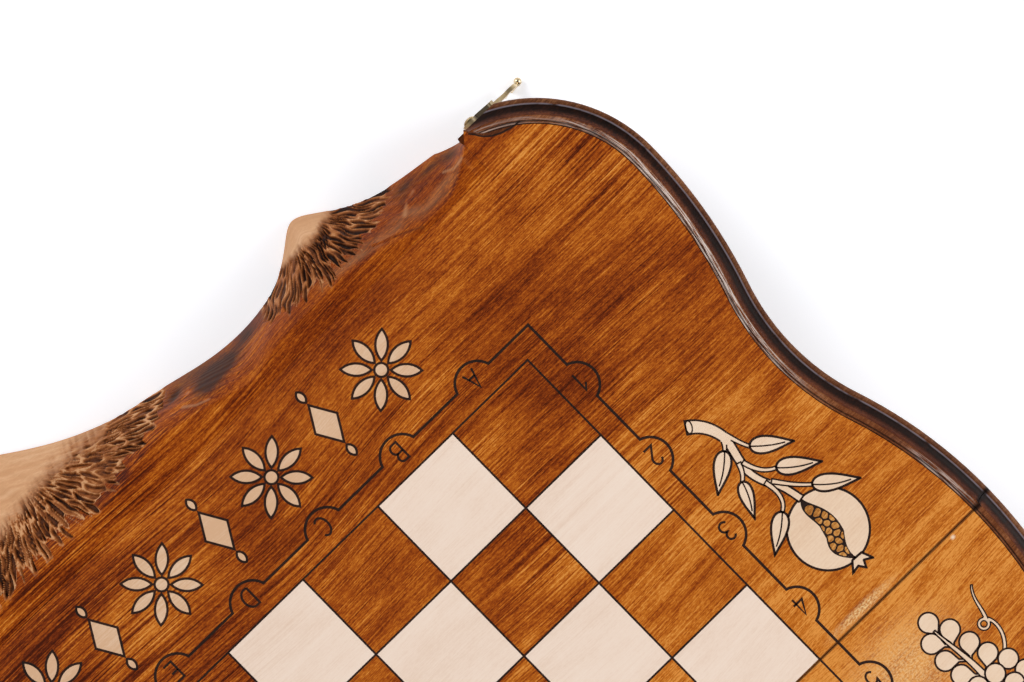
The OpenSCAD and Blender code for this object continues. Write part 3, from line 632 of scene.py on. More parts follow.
corner_strip = carried(np.array([(-1, 0), (1, 0), (0, 1)]), np.array([(0.0, 0), (9, 0), (9, 9)]), 0)
print("a strip round one corner has", len(corner_strip[0]), "points")


# %% A piece on its body
def new_piece(name, points, faces, body, slot, material, sharp_angle=35):
    """Makes the mesh, smooth except at edges sharper than the angle, and hangs it on a body."""
    mesh = bpy.data.meshes.new(name)
    mesh.from_pydata(np.asarray(points, float) * MM, [], faces)
    mesh.shade_smooth()
    mesh.set_sharp_from_angle(angle=math.radians(sharp_angle))
    mesh.materials.append(material)
    made = bpy.data.objects.new(name, mesh)
    bpy.context.scene.collection.objects.link(made)
    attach(made, body)
    print(f"{name}: {len(points)} points, {len(faces)} faces")
    return made


# %% [markdown]
# ## The carved mountain front
# The front edge of each half is carved as a mountain range. Seen from above, its outline
# runs out in two peaks, and the wood slopes down to it from the playing face. The CAD solid
# has the main form. Here the same slope is worked out on a fine grid and then gouged: long
# cuts run down from each peak like strands of fur, with sharp light ridges between them.
# The peaks stay smooth and unstained, like snow.

# %% The range's outline and slope
TOP, RIM, UNDER = top / MM, rail_low.z / MM, top / MM - 8
FRONT, CARVE, INNER, HALF_LENGTH = 270.0, 250.0, 236.0, 224.9
GREAT = {"at": 54.5, "out": 62.3, "left": 60.5, "right": 50.0, "tip": 16.0}
LITTLE = {"at": -145.6, "out": 27.0, "left": 28.3, "right": 20.0, "tip": 7.5}


def eased(value):
    """0 below 0, 1 above 1, and 3f^2 - 2f^3 between."""
    f = np.clip(value, 0, 1)
    return f * f * (3 - 2 * f)


def peak(x, at, out, left, right, tip):
    """How far a peak stands out: it falls off exponentially with the distance, rounded."""
    away = np.sqrt((x - at) ** 2 + tip ** 2) - tip
    return out * np.exp(-away / np.where(x < at, left, right))


def hump(x, at, wide):
    """1 at one place, falling off on both sides as exp(-((x - at) / wide)^2)."""
    return np.exp(-((x - at) / wide) ** 2)


def outline(x):
    """The distance of the range's outline from the fold."""
    fading = np.minimum(1, (HALF_LENGTH + 0.1 - np.abs(x)) / 12)
    return FRONT + (peak(x, **GREAT) + peak(x, **LITTLE) + 2.1 * hump(x, -50, 23)) * fading


def brink(x):
    """Where the flat top ends, as a distance from the fold. It draws back beside the peaks."""
    return (CARVE + 10.6 + 13.6 * eased((np.abs(x) - 204) / 40) - 8.6 * hump(np.abs(x), 196, 30)
            - 4.4 * hump(x, -90, 13.4) + 5.7 * hump(x, -41, 22))


def gully(x, v):
    """Broad furrows that fan out from the peaks, deepest half way down the slope."""
    great, little = (x - GREAT["at"]) / (1.25 - v), (x - LITTLE["at"]) / (1.25 - v)
    fans = (np.exp(-np.abs(x - GREAT["at"]) / 70) * np.sin(np.radians(great * 7)) ** 2
            + np.exp(-np.abs(x - LITTLE["at"]) / 22) * np.sin(np.radians(little * 9)) ** 2)
    return 2.2 * np.sin(np.pi * v) * fans * np.minimum(1, (225 - np.abs(x)) / 20)


def slope(x, v):
    """The slope's distance from the fold and its height: v is 0 at the top and 1 at the foot."""
    foot = RIM + 5 + 18 * eased((np.abs(x) - 165) / 45)
    out = brink(x) + (outline(x) - brink(x)) * v
    return out, foot + (TOP - foot) * (1 - v ** 1.5) - gully(x, v)


stations = np.linspace(-HALF_LENGTH, HALF_LENGTH, 11)
print("outline of the front in mm:", outline(stations).round(1))


# %% [markdown]
# ### Gouge marks
# A carver's gouge leaves long hollows that meet in sharp ridges. That is the pattern of a
# cell diagram: scatter seeds, and give each point to its nearest seed. How much nearer the
# first seed is than the second tells the distance from the ridge. Straight rows of cells
# would look like a machine's work, so smooth drift bends them.


# %% Cells and drift
def cells(a, b, seed):
    """For each point: the distance to the nearest seed and to the next, the way to the
    nearest seed, and that seed's own random number. There is one seed in each unit square."""
    chance = np.random.default_rng(seed)
    size = 128
    seats, numbers = 0.12 + 0.76 * chance.random((size, size, 2)), chance.random((size, size))
    nearest, second = np.full(a.shape, 9.0), np.full(a.shape, 9.0)
    number, to_a, to_b = np.zeros(a.shape), np.zeros(a.shape), np.zeros(a.shape)
    for da in (-1, 0, 1):
        for db in (-1, 0, 1):
            ca, cb = np.floor(a).astype(int) + da, np.floor(b).astype(int) + db
            seat = seats[ca % size, cb % size]
            way_a, way_b = ca + seat[..., 0] - a, cb + seat[..., 1] - b
            away = np.hypot(way_a, way_b)
            closer = away < nearest
            second = np.where(closer, nearest, np.minimum(second, away))
            number = np.where(closer, numbers[ca % size, cb % size], number)
            to_a, to_b = np.where(closer, way_a, to_a), np.where(closer, way_b, to_b)
            nearest = np.where(closer, away, nearest)
    return nearest, second, to_a, to_b, number


def drift(a, b, seed):
    """Smooth random values from -1 to 1: the corners of unit squares, eased between."""
    size = 128
    corner = np.random.default_rng(seed).uniform(-1, 1, (size, size))
    ia, ib = np.floor(a).astype(int), np.floor(b).astype(int)
    fa, fb = eased(a - ia), eased(b - ib)
    low = corner[ia % size, ib % size] * (1 - fa) + corner[(ia + 1) % size, ib % size] * fa
    high = (corner[ia % size, (ib + 1) % size] * (1 - fa)
            + corner[(ia + 1) % size, (ib + 1) % size] * fa)
    return low * (1 - fb) + high * fb


print("drift at three places:", drift(np.array([0.2, 0.9, 1.7]), np.zeros(3), 5).round(2))

# %% [markdown]
# ### Strands and soft spots
# The seeds lie in a space of angle and distance from a point high on the mountain, so the
# cells come out as long strands that fan from it, and the distance from the ridge says how
# deep the cut is. Each cut has finer strokes in it, and its tone is darker towards one side
# and along its rim, as painted shade. Sprayed stain, rubbed places and a painted sheen need
# only two simple forms, a soft round spot and a soft streak along a path.


# %% Strands, blots and streaks
def strands(x, out, at, high, per_turn, length, ridge, seed):
    """Cuts that fan from a point. Angle times strands per radian and distance over length
    are bent by drift and cut into cells: depth is 0 on a ridge and 1 in the middle of a cut.
    Also returned: the seed's number, raised towards one side of the cut and along its rim, which deepens the
    cut there and darkens its colour as painted shade, the strokes inside, and the seed's own distance out."""
    angle = np.arctan2(x - at, high - out)
    away = np.hypot(x - at, high - out)
    a = (angle * per_turn + 0.55 * drift(away / 15, angle * 3, seed)
         + 0.22 * drift(away / 5, angle * 9, seed) + 60)
    b = away / length + 0.8 * drift(a / 1.3, away / 40, seed + 1) + 60
    nearest, second, to_a, to_b, number = cells(a, b, seed + 2)
    cut = eased((second - nearest) / ridge)
    leaning = (number - 0.5) * 2.4
    strokes = 0.5 + 0.5 * np.cos(2 * np.pi * (to_a * away / per_turn / 2.3 + leaning * to_b + number))
    # Painted shade: the seed's number rises along the rim inside each ridge and towards one side of the cut,
    # which darkens the colour there and deepens the cut.
    rim = cut * (1 - eased((second - nearest - ridge) / 0.3))
    seed_out = high - (away + to_b * length) * np.cos(angle + to_a / per_turn)
    number = np.clip(number + 0.6 * to_a + 0.35 * rim - 0.1, 0, 1)
    return cut, number, strokes * eased(cut * 1.6), seed_out


def blot(x, out, spots):
    """The sum of soft round spots, each given by its centre and its two radii."""
    return sum(np.exp(-((x - cx) / rx) ** 2 - ((out - cy) / ry) ** 2) for cx, cy, rx, ry in spots)


def streak(x, out, path, width):
    """1 on a path of straight pieces and fading over the width: exp(-(distance / width)^2)."""
    nearest = np.full(np.shape(x), 1e9)
    for (ax, ay), (bx, by) in zip(path[:-1], path[1:]):
        run = (bx - ax) ** 2 + (by - ay) ** 2
        f = np.clip(((x - ax) * (bx - ax) + (out - ay) * (by - ay)) / run, 0, 1)
        nearest = np.minimum(nearest, np.hypot(x - ax - f * (bx - ax), out - ay - f * (by - ay)))
    return np.exp(-(nearest / width) ** 2)


sample = strands(np.array([0.0, 20.0]), np.array([280.0, 290.0]), 24, 305, 8, 14, 0.3, 5)
print("two sample cuts:", sample[0].round(2))

# %% [markdown]
# ### Fans of cuts
# Two fans spread over the flanks of the great peak and meet in a ridge. Their cuts widen
# with the distance, so far out a fan of more and finer cuts takes over. The little peak has
# one fan, and its strands wave, because the place is bent by drift before they are worked
# out. The grid of the slope is closer where the cuts are than on the smooth wood between.

# %% The grid and the fans
STEPS = 104
KNOTS = np.array([-HALF_LENGTH, -192, -105, -52, 166, HALF_LENGTH])
APART = np.array([0.9, 0.4, 0.9, 0.46, 0.9])
COUNTS = np.concatenate([[0], np.cumsum(np.diff(KNOTS) / APART)])
STATIONS = int(COUNTS[-1])
STATION_X = np.interp(np.linspace(0, COUNTS[-1], STATIONS), COUNTS, KNOTS)
FANS = {"left": (24, 305, 17, 11.5, 0.33, 5), "right": (88, 305, 17, 11.5, 0.33, 45),
        "finer": (24, 305, 36, 11.5, 0.34, 75), "little": (LITTLE["at"], 301, 15.5, 14, 0.42, 25)}
RIDGE_AT = 56.0


def great_strands(x, out):
    """The left and the right fan, which meet along a ridge, and finer cuts far out."""
    left, right, finer = (strands(x, out, *FANS[name]) for name in ("left", "right", "finer"))
    picked = [np.where(x < RIDGE_AT, a, b) for a, b in zip(left, right)]
    picked[0] = picked[0] * eased(np.abs(x - RIDGE_AT) / 1.5)
    far = eased((-4 - x) / 22) + eased((x - 112) / 22)
    picked[:3] = [a * (1 - far) + b * far for a, b in zip(picked[:3], finer[:3])]
    return picked


def little_strands(x, out):
    """The little peak's fan at a bent place. Its seeds count half for where the zone ends."""
    bent = x + 1.7 * drift(x / 7, out / 7, 91), out + 1.2 * drift(x / 6, out / 8, 92)
    cut, number, strokes, seed_out = strands(*bent, *FANS["little"])
    return cut, number, strokes, 0.5 * seed_out + 0.5 * out


print("stations along the front:", STATIONS, "steps down the slope:", STEPS)

# %% [markdown]
# ### Zones, snow and sprayed stain
# Each cut belongs to a zone as a whole, by the place of its seed, so the zones end in round
# tongues. Snow lies round each tip, within a distance that grows down the flanks, and its
# edge is ragged. The wood darkens towards the foot of the slope, most in the saddle between
# the peaks, and stain was sprayed in soft spots. A few fine streaks are rubbed pale again,
# and a painted sheen lies along the brink between the little peak and the left corner.

# %% Zones, snow and stain
DARK_SPOTS = [(-84, 272, 7, 4), (-96, 276, 6, 3), (-55, 278.5, 3.6, 2.2)]
SIDE_SPOTS = [(218, 268.6, 5, 2.6), (193, 272.5, 6, 2.6), (190, 267.2, 3, 1.6), (207, 270.3, 6, 1.6)]
DARK_STREAK = [(166.8, 261.7), (178, 257.3), (187.8, 252.6)]
PALE_STREAK = [(-70, 263.8), (-64, 266), (-58, 270)]
SIDE_STREAKS = [([(210.5, 264.1), (214.8, 261.4), (220.4, 262)], 0.6, 1.0),
                ([(185.6, 262.3), (190.1, 266.6), (195.3, 267.9)], 1.1, 0.8)]
BRINK_SHEEN = [(140, 264), (154, 263), (171, 261.5), (185, 261.5), (195, 257.5), (206, 258.5), (218, 261)]


def zones(x, great_seed, little_seed):
    """How much each place belongs to the great peak's gouged zone, and to the little one's."""
    great_edge = brink(x) + 4.5 + np.maximum(0, -43 - x) * 1.25 + np.maximum(0, x - 118) * 0.5
    great = eased((great_seed - great_edge) / 0.8 + 0.5) * eased((x + 52) / 3) * eased((165 - x) / 5)
    little_edge = 265 + np.where(x > -148, 0.0048, 0.0075) * (x + 148) ** 2
    little = eased((little_seed - little_edge) / 0.8 + 0.5)
    return great, little * eased((x + 190) / 4) * eased((-106 - x) / 4)


def snow_on(x, out):
    """The snow of the great and of the little peak: 1 near the tip, ragged where it ends."""
    ragged = drift(x / 1.6, out / 6, 61) + 0.7 * drift(x / 0.8, out / 9, 62)
    from_great = np.hypot(x - GREAT["at"], 332 - out)
    reach = 45.5 + 23.8 * np.minimum(((x - GREAT["at"]) / 58) ** 2, 1.5)
    great = eased((reach - from_great + 1.5 * ragged) / 8 + 0.5)
    from_little = np.hypot(x - LITTLE["at"], 297 - out)
    turn = np.abs(np.arctan2(x - LITTLE["at"], 297 - out))
    reach = 11.5 + np.where(x > LITTLE["at"], 8.5, 4.0) * np.minimum(turn / 1.1, 1) ** 3
    return great, eased((reach - from_little + 0.9 * ragged) / 5 + 0.5)


def stain_and_sheen_on(x, out, v):
    """How much darker each place is, towards the foot of the slope and in sprayed spots, and how much paler,
    from rubbed streaks and a painted sheen along the brink.
    """
    side = np.abs(x)
    # Darker towards the foot of the slope, most in the saddle, and in sprayed spots.
    smoke = eased((v - 0.3) / 0.55) * (0.2 + 0.55 * hump(x, -68, 16))
    smoke = smoke + 1.3 * blot(x, out, [(-73, 270.5, 8, 5)]) + 0.8 * blot(x, out, DARK_SPOTS)
    smoke = smoke + 0.75 * blot(side, out, SIDE_SPOTS) + 0.55 * streak(side, out, DARK_STREAK, 0.5)
    pale = streak(x, out, PALE_STREAK, 0.7) + blot(x, out, [(-62, 274, 1.8, 1.4)])
    pale = pale + sum(weight * streak(side, out, path, width) for path, width, weight in SIDE_STREAKS)
    # Painted sheen: a pale band along the brink where the shoulder rounds over.
    sheen = streak(side, out, BRINK_SHEEN, 3.2) * eased((v - 0.02) / 0.1)
    pale = pale + 0.7 * sheen * (0.65 + 0.35 * drift(x / 5, out / 2.5, 77)) * (np.abs(x + 170) < 60)
    return smoke, pale


print("snow on the great tip:", snow_on(GREAT["at"], outline(GREAT["at"]))[0].round(2))

# %% [markdown]
# ### The carved surface
# The depth of the cuts moves each point into the wood, square to the slope. Four numbers
# are kept on every point for the material: how dark the cut is, with painted shade on one
# side of each cut and along its rim, how much the point belongs to the gouged zones, how
# much snow lies there, and how much darker the wood is, towards the foot and in sprayed
# spots, less the pale rubbed streaks and a painted sheen along the brink.


# %% Depth and numbers of the carving
def carving(x, v):
    """The gouged slope: where each point goes, and the four numbers for the material."""
    out, up = slope(x, v)
    cut_g, number_g, strokes_g, seed_g = great_strands(x, out)
    cut_l, number_l, strokes_l, seed_l = little_strands(x, out)
    snow_g, snow_l = snow_on(x, out)
    great, little = zones(x, seed_g, seed_l)
    on_slope = eased(v / 0.06)
    great, little = great * (1 - snow_g) * on_slope, little * (1 - snow_l) * on_slope
    snow = np.maximum(snow_g, snow_l) * on_slope
    gouged = np.clip(great + little, 0, 1)
    depth = (great * (1.5 * cut_g * (0.5 + 0.75 * number_g) - 0.26 * strokes_g)
             + little * (1.5 * cut_l * (0.45 + 0.8 * number_l) - 0.35 * strokes_l) + 0.25 * gouged)
    # The cuts' tone, with painted shade carried in the seed's number.
    tone_g = cut_g * (0.37 + 0.58 * number_g ** 1.3 + 0.2 * eased((-14 - x) / 25)) - 0.14 * strokes_g
    tone_l = 0.16 + cut_l * (0.46 + 0.6 * number_l ** 1.2) - 0.12 * strokes_l
    smoke, pale = stain_and_sheen_on(x, out, v)
    shade = np.clip(smoke * (1 - gouged) * (1 - snow), 0, 1) * (1 - 0.85 * np.clip(pale, 0, 1))
    scoop = 1.1 * blot(np.abs(x), out, [(217, 267.5, 6, 4)]) + 1.3 * blot(x, out, [(-55, 278.5, 4, 2.6)])
    # The smoke number is the darkening, less the pale rubbed streaks and the painted sheen.
    numbers = {"cut": np.clip(great * tone_g + little * tone_l, 0, 1), "gouged": gouged,
               "snow": snow, "smoke": shade - 0.35 * pale * (1 - gouged)}
    fading = (eased(v / 0.05) * eased((1 - v) / 0.12 + 0.25)
              * eased((HALF_LENGTH - np.abs(x)) / 3))
    return out, up, np.clip(depth + scoop * (1 - gouged), 0, None) * fading, numbers


deepest = carving(np.linspace(-60, 160, 400), np.full(400, 0.5))[2].max()
print("deepest cut half way down the slope:", deepest.round(2), "mm")


# %% The whole block
def front_piece(side):
    """The whole carved block of one half. side is -1 for the near half and 1 for the far."""
    x, v = np.meshgrid(STATION_X, np.linspace(0, 1, STEPS), indexing="ij")
    out, up, depth, numbers = carving(x, v)
    skin = np.stack([x, out, up], -1)
    inward = np.cross(np.gradient(skin, axis=1), np.gradient(skin, axis=0))
    inward /= np.linalg.norm(inward, axis=-1)[..., None]
    skin = skin + inward * depth[..., None]
    section = [(INNER, RIM), (INNER, UNDER), (CARVE, UNDER), (CARVE, TOP)]
    block = [np.stack([STATION_X, np.full(STATIONS, y), np.full(STATIONS, z)], -1)[:, None]
             for y, z in section]
    foot = np.stack([STATION_X, out[:, -1], np.full(STATIONS, RIM)], -1)[:, None]
    points = np.concatenate(block + [skin, foot, foot - (0, 1.2, 0)], 1)
    rows, columns = points.shape[:2]
    stored = {}
    for name, values in numbers.items():
        padded = np.zeros((rows, columns), np.float32)
        padded[:, len(block):-2] = values
        padded[:, -2] = values[:, -1]
        stored[name] = padded.ravel()
    points = points.reshape(-1, 3) * (1, side, 1)
    faces = grid_faces(rows, columns, False, True) + end_faces(len(points), columns)
    return points, facing_out(points, faces), stored


# %% [markdown]
# ### The finish of the carving
# The carver stained the whole front, wiped it, and sprayed the hollows almost black. So the
# colour starts from the same stain as the panel, with its painted shade by the front edge.
# In the gouged zones it runs from a light tan on the ridges to dark brown in the cuts, with
# painted shade on one side of each cut and along its rim. The snow is bare wood with faint
# year rings. Over the rest lie the darkening towards the foot of the slope and in sprayed
# spots, the pale rubbed streaks, and a painted sheen along the brink.

# %% Carved wood finish
carved_wood, tree, shader = new_material("carved wood")
place = place_in(tree)
grained = grain_of(tree, place)
stored = {name: add(tree, "ShaderNodeAttribute", attribute_name=name).outputs["Fac"]
          for name in ("cut", "gouged", "snow", "smoke")}
# Starts from the stain with its painted shade by the front edge.
colour = ramp(tree, stain_and_light_tone(tree, place, grained), STAIN)
patchy = noise(tree, place, 110, 3.0, 0.6)
# Dark in the cuts, with painted shade on one side of each cut and along its rim.
depth_tone = sum_of(tree, stored["cut"], [(patchy, 1.0), (grained["Tone"], 0.22)])
gouged = ramp(tree, depth_tone, [(0.00, paint(206, 152, 106)), (0.14, paint(172, 108, 60)),
                                 (0.36, paint(136, 76, 36)), (0.62, paint(88, 45, 20)),
                                 (0.95, paint(36, 19, 13))])
colour = mixed(tree, stored["gouged"], colour, gouged)
rings = noise(tree, stretched(tree, place, (12, 40, 420)), 1.0, 1.0)
bare_tone = sum_of(tree, 0.5, [(rings, 0.9), (grained["Tone"], 0.35)])
bare = three_tones(tree, bare_tone, (192, 138, 96), (208, 158, 116), (226, 182, 144))
colour = mixed(tree, stored["snow"], colour, bare)
# Darker towards the foot of the slope and in sprayed spots.
darkening = times(tree, stored["smoke"], 0.9, clamp=True)
colour = mixed(tree, darkening, colour, paint(42, 23, 16))
# Pale rubbed streaks, and a painted sheen along the brink.
pale_rub_and_sheen = times(tree, stored["smoke"], -1.5, clamp=True)
colour = mixed(tree, pale_rub_and_sheen, colour, paint(190, 138, 96))
varnish(tree, shader, grained, colour, 0.55, 0.0, shine=0.08)
print("carved wood nodes:", len(tree.nodes))

# %% Make both fronts
for half, side in (("near", -1), ("far", 1)):
    points, faces, numbers = front_piece(side)
    made = new_piece(f"{half}_carved_mountains", points, faces, f"{half}_half", "carved_wood",
                     carved_wood, 55)
    for name, values in numbers.items():
        made.data.attributes.new(name, "FLOAT", "POINT").data.foreach_set("value", values)
    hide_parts(f"{half}_mountain_front")

# %% [markdown]
# ## Burnt lines on the playing face
# Thin burnt lines part the squares, and a frame line runs round them with a round bay at
# each file and rank, where its letter or number stands. Each line is a low strip carried
# along a path, set into the wood and standing out by a few hundredths of a millimetre.
# Each half has its own lines, so they part cleanly at the fold.

# %% Strips and strokes
SQUARE, GRID, SEAM = 45.0, 180.0, 0.2
FRAME = GRID + 10.7


def line_strip(path, width, closed=False, lift=0.03):
    """A low strip with slanting sides along the path, its top a little above the wood."""
    half = width / 2
    profile = np.array([(-half, -0.06), (half, -0.06), (half - 0.06, lift), (-half + 0.06, lift)])
    return carried(profile, np.asarray(path, float), TOP, closed)


def arc(cx, cy, rx, ry, start, stop, count=18):
    """Points on an ellipse from one direction to another, in degrees."""
    turn = np.radians(np.linspace(start, stop, count))
    return np.stack([cx + rx * np.cos(turn), cy + ry * np.sin(turn)], 1)


def joined(*runs):
    """Several runs of points as one path."""
    return np.vstack([np.atleast_2d(np.asarray(r, float)) for r in runs])


print("a strip of two points has", len(line_strip([(0, 0), (9, 0)], 1.0)[0]), "points")

# %% [markdown]
# ### Letters and numbers
# Each file has its letter and each rank its number, drawn as an engraver would with a few
# strokes. A stroke is a path in a box one unit high, and is made a strip like any other line.

# %% Strokes of the letters and numbers
GLYPHS = {
    "A": [joined((0, 0), (0.36, 1), (0.72, 0)), joined((0.13, 0.36), (0.59, 0.36))],
    "B": [joined((0, 0.53), (0, 1), arc(0.3, 0.765, 0.25, 0.235, 90, -90), (0, 0.53)),
          joined((0, 0.53), (0, 0), arc(0.32, 0.265, 0.28, 0.265, -90, 90))],
    "C": [arc(0.4, 0.5, 0.38, 0.5, 48, 312, 28)],
    "D": [joined((0, 0), (0, 1), arc(0.25, 0.5, 0.42, 0.5, 90, -90, 24), (0, 0))],
    "E": [joined((0.55, 1), (0, 1), (0, 0), (0.58, 0)), joined((0, 0.52), (0.46, 0.52))],
    "F": [joined((0.55, 1), (0, 1), (0, 0)), joined((0, 0.52), (0.44, 0.52))],
    "G": [joined(arc(0.4, 0.5, 0.38, 0.5, 48, 345, 30), (0.42, 0.42))],
    "H": [joined((0, 0), (0, 1)), joined((0.6, 0), (0.6, 1)), joined((0, 0.52), (0.6, 0.52))],
    "1": [joined((0, 0.7), (0.3, 1), (0.3, 0))],
    "2": [joined(arc(0.3, 0.72, 0.28, 0.28, 165, -35), (0.02, 0), (0.62, 0))],
    "3": [joined(arc(0.29, 0.765, 0.26, 0.235, 150, -80), arc(0.3, 0.265, 0.3, 0.265, 80, -150))],
    "4": [joined((0.46, 0), (0.46, 1), (0, 0.3), (0.66, 0.3))],
    "5": [joined((0.55, 1), (0.1, 1), (0.05, 0.56), arc(0.28, 0.33, 0.3, 0.33, 115, -140))],
    "6": [joined((0.46, 1), arc(0.32, 0.3, 0.3, 0.3, 150, 510, 30))],
    "7": [joined((0, 1), (0.6, 1), (0.22, 0))],
    "8": [arc(0.3, 0.77, 0.23, 0.23, 90, -270, 26), arc(0.3, 0.27, 0.29, 0.27, 90, -270, 30)],
}


def glyph(mark, cx, cy, tall=8.6, upside_down=False):
    """The strokes of one letter or number, centred on a point."""
    strokes = GLYPHS[mark]
    wide = max(s[:, 0].max() for s in strokes)
    sign = -1 if upside_down else 1
    return [(s - (wide / 2, 0.5)) * (0.85 * tall * sign, tall * sign) + (cx, cy) for s in strokes]


print("glyphs:", "".join(GLYPHS))

# %% [markdown]
# ### The frame line and its bays
# The frame is one path for each half. It runs down one side, across and up the other, and
# at the middle of each square it leaves the straight line in a round bay, an arc that is
# centred a little inside the line. Where the carved front meets the rail, a short bent
# groove runs out to the edge of the board.

# %% Lines of both halves
BAY_R, BAY_IN = 9.7, 2.8
BAY_TURN = math.degrees(math.acos(BAY_IN / BAY_R))
CORNER_GROOVE = [(-249.4, -255.8), (-246.4, -256.1), (-243.3, -256.9), (-240.8, -257.6), (-238.3, -258.6),
                 (-235.8, -260), (-233.7, -261.9), (-232.4, -263.5), (-231.5, -265.2), (-229.6, -267.4)]
middles = (np.arange(8) - 3.5) * SQUARE


def frame_path(side):
    """The frame line of one half, from the fold on the left round to the fold on the right."""
    near = np.sort(middles[middles > 0])
    down = [arc(-FRAME + BAY_IN, side * m, BAY_R, BAY_R, 180 - BAY_TURN * -side,
                180 + BAY_TURN * -side, 26) for m in near]
    across = [arc(m, side * (FRAME - BAY_IN), BAY_R, BAY_R, side * 90 + side * BAY_TURN,
                  side * 90 - side * BAY_TURN, 26) for m in middles]
    left = joined((-FRAME, side * SEAM), *down, (-FRAME, side * FRAME))
    right = left[::-1] * (-1, 1)
    return joined(left, *across, right)


def half_lines(side):
    """Every burnt line of one half: the net of squares, the frame and its marks."""
    parts = [line_strip([(x, side * SEAM), (x, side * GRID)], 1.0)
             for x in np.arange(-4, 5) * SQUARE]
    parts += [line_strip([(-GRID - 0.5, side * y), (GRID + 0.5, side * y)], 1.0, lift=0.02)
              for y in np.arange(1, 5) * SQUARE]
    parts.append(line_strip(frame_path(side), 1.3))
    label = GRID + 10.2
    strokes = []
    for file, x in zip("ABCDEFGH", middles):
        strokes += glyph(file, x, side * label, upside_down=side > 0)
    for rank, y in zip("12345678", middles):
        if y * side > 0:
            strokes += glyph(rank, -label, y) + glyph(rank, label, y)
    parts += [line_strip(s, 1.1, lift=0.025) for s in strokes]
    parts += [line_strip(np.array(CORNER_GROOVE) * (flip, -side), 0.8) for flip in (1, -1)]
    return piled(parts)


for half, side in (("near", -1), ("far", 1)):
    new_piece(f"{half}_burnt_lines", *half_lines(side), f"{half}_half", "dark_inlay", burnt)

# %% [markdown]
# ## Outlines of the rosettes
# Every inlaid piece has a burnt outline too. For the rosettes its path is already in the
# CAD node: it is the edge of the node's top face, made of the triangle sides that no other
# top triangle shares. Following such sides from end to end is usually a loop over points.
# Here every side learns in a few doubling steps how far it is from the start of its own
# outline, and a sort puts them in order.


# %% Outlines from a CAD node
def top_outlines(node, height):
    """The closed paths round the flat faces of a node at one height, in millimetres."""
    mesh = node.data
    mesh.calc_loop_triangles()
    co = np.zeros(len(mesh.vertices) * 3)
    mesh.vertices.foreach_get("co", co)
    corners = np.zeros(len(mesh.loop_triangles) * 3, np.int64)
    mesh.loop_triangles.foreach_get("vertices", corners)
    places, same = np.unique((co.reshape(-1, 3) / MM).round(4), axis=0, return_inverse=True)
    triangles = same.ravel()[corners].reshape(-1, 3)
    flat = triangles[(np.abs(places[triangles][..., 2] - height) < 0.01).all(1)]
    sides = np.vstack([flat[:, [0, 1]], flat[:, [1, 2]], flat[:, [2, 0]]])
    size = len(places)
    keys, back = sides[:, 0] * size + sides[:, 1], sides[:, 1] * size + sides[:, 0]
    sides = sides[~np.isin(keys, back)]
    number = np.full(size, -1)
    number[sides[:, 0]] = np.arange(len(sides))
    following = number[sides[:, 1]]
    head, jump = np.arange(len(sides)), following.copy()
    for _ in range(len(sides).bit_length()):
        head, jump = np.minimum(head, head[jump]), jump[jump]
    start = head == np.arange(len(sides))
    jump = np.where(start, np.arange(len(sides)), following)
    steps = np.where(start, 0, 1)
    for _ in range(len(sides).bit_length()):
        steps, jump = steps + steps[jump], jump[jump]
    order = np.lexsort((-steps, head))
    firsts = np.flatnonzero(np.diff(head[order])) + 1
    return [places[sides[run, 0], :2] for run in np.split(order, firsts)]


OUTLINE = 1.15
for half in ("near", "far"):
    name = f"{half}_rosette_band"
    paths = [p for p in top_outlines(nodes[name], TOP) if len(p) > 2]
    strips = [line_strip(p, OUTLINE, closed=True) for p in paths]
    new_piece(f"{name}_outline", *piled(strips), f"{half}_half", "dark_inlay", burnt)

# %% [markdown]
# ## Outlines of fruit, leaves and grapes
# The pictures are built of a few kinds of shape: twigs along bent curves, leaves that are
# round at the base and pointed at the tip, and plain arcs for fruit and grapes.


# %% Twigs and leaves
def cubic(points, count=24):
    """A curve from the first to the last of four points, bent by the two between:
    (1-f)^3 a + 3 (1-f)^2 f b + 3 (1-f) f^2 c + f^3 d, for f from 0 to 1."""
    a, b, c, d = np.asarray(points, float)
    f = np.linspace(0, 1, count)[:, None]
    return (1 - f) ** 3 * a + 3 * (1 - f) ** 2 * f * b + 3 * (1 - f) * f * f * c + f ** 3 * d


def twig(points, first, last, count=24):
    """The outline of a twig along a cubic curve, as wide as first at its start and last at its end."""
    line = cubic(points, count)
    ahead = np.gradient(line, axis=0)
    across = np.stack([-ahead[:, 1], ahead[:, 0]], 1) / np.linalg.norm(ahead, axis=1)[:, None]
    half = np.linspace(first, last, count)[:, None] / 2
    return joined(line + across * half, (line - across * half)[::-1])


def leaf(base, tip, width, count=14):
    """The outline of a leaf: half as wide as f^0.5 (1-f)^1.2 / 0.357 at the fraction f of its
    length, so it is round at the base and drawn out to a point."""
    base, tip = np.asarray(base, float), np.asarray(tip, float)
    run = tip - base
    length = np.linalg.norm(run)
    across = np.array([-run[1], run[0]]) / length
    f = np.linspace(0, 1, count)[:, None] ** 1.8
    half = width / 2 * f ** 0.5 * (1 - f) ** 1.2 / 0.357
    return joined(base + run * f + across * half, (base + run * f - across * half)[-2:0:-1])


def leaf_vein(base, tip, bend, reach=0.8):
    """The middle line of a leaf: it starts at the base, bends a little and stops short."""
    base, tip = np.asarray(base, float), np.asarray(tip, float)
    run = tip - base
    across = np.array([-run[1], run[0]])
    return cubic([base, base + 0.3 * run + bend * across, base + 0.55 * run + bend * across,
                  base + reach * run], 12)


print("a leaf has", len(leaf((0, 0), (18, 0), 7.5)), "points on its outline")

# %% [markdown]
# ### What lies in front
# One thing lies before another: a leaf before the fruit, a grape before its neighbour. So
# each outline is drawn only where nothing in front hides it. A point is inside a closed
# outline if a ray from it crosses the outline an odd number of times. Twigs that join hide
# each other's outlines, so their lines open into one another.


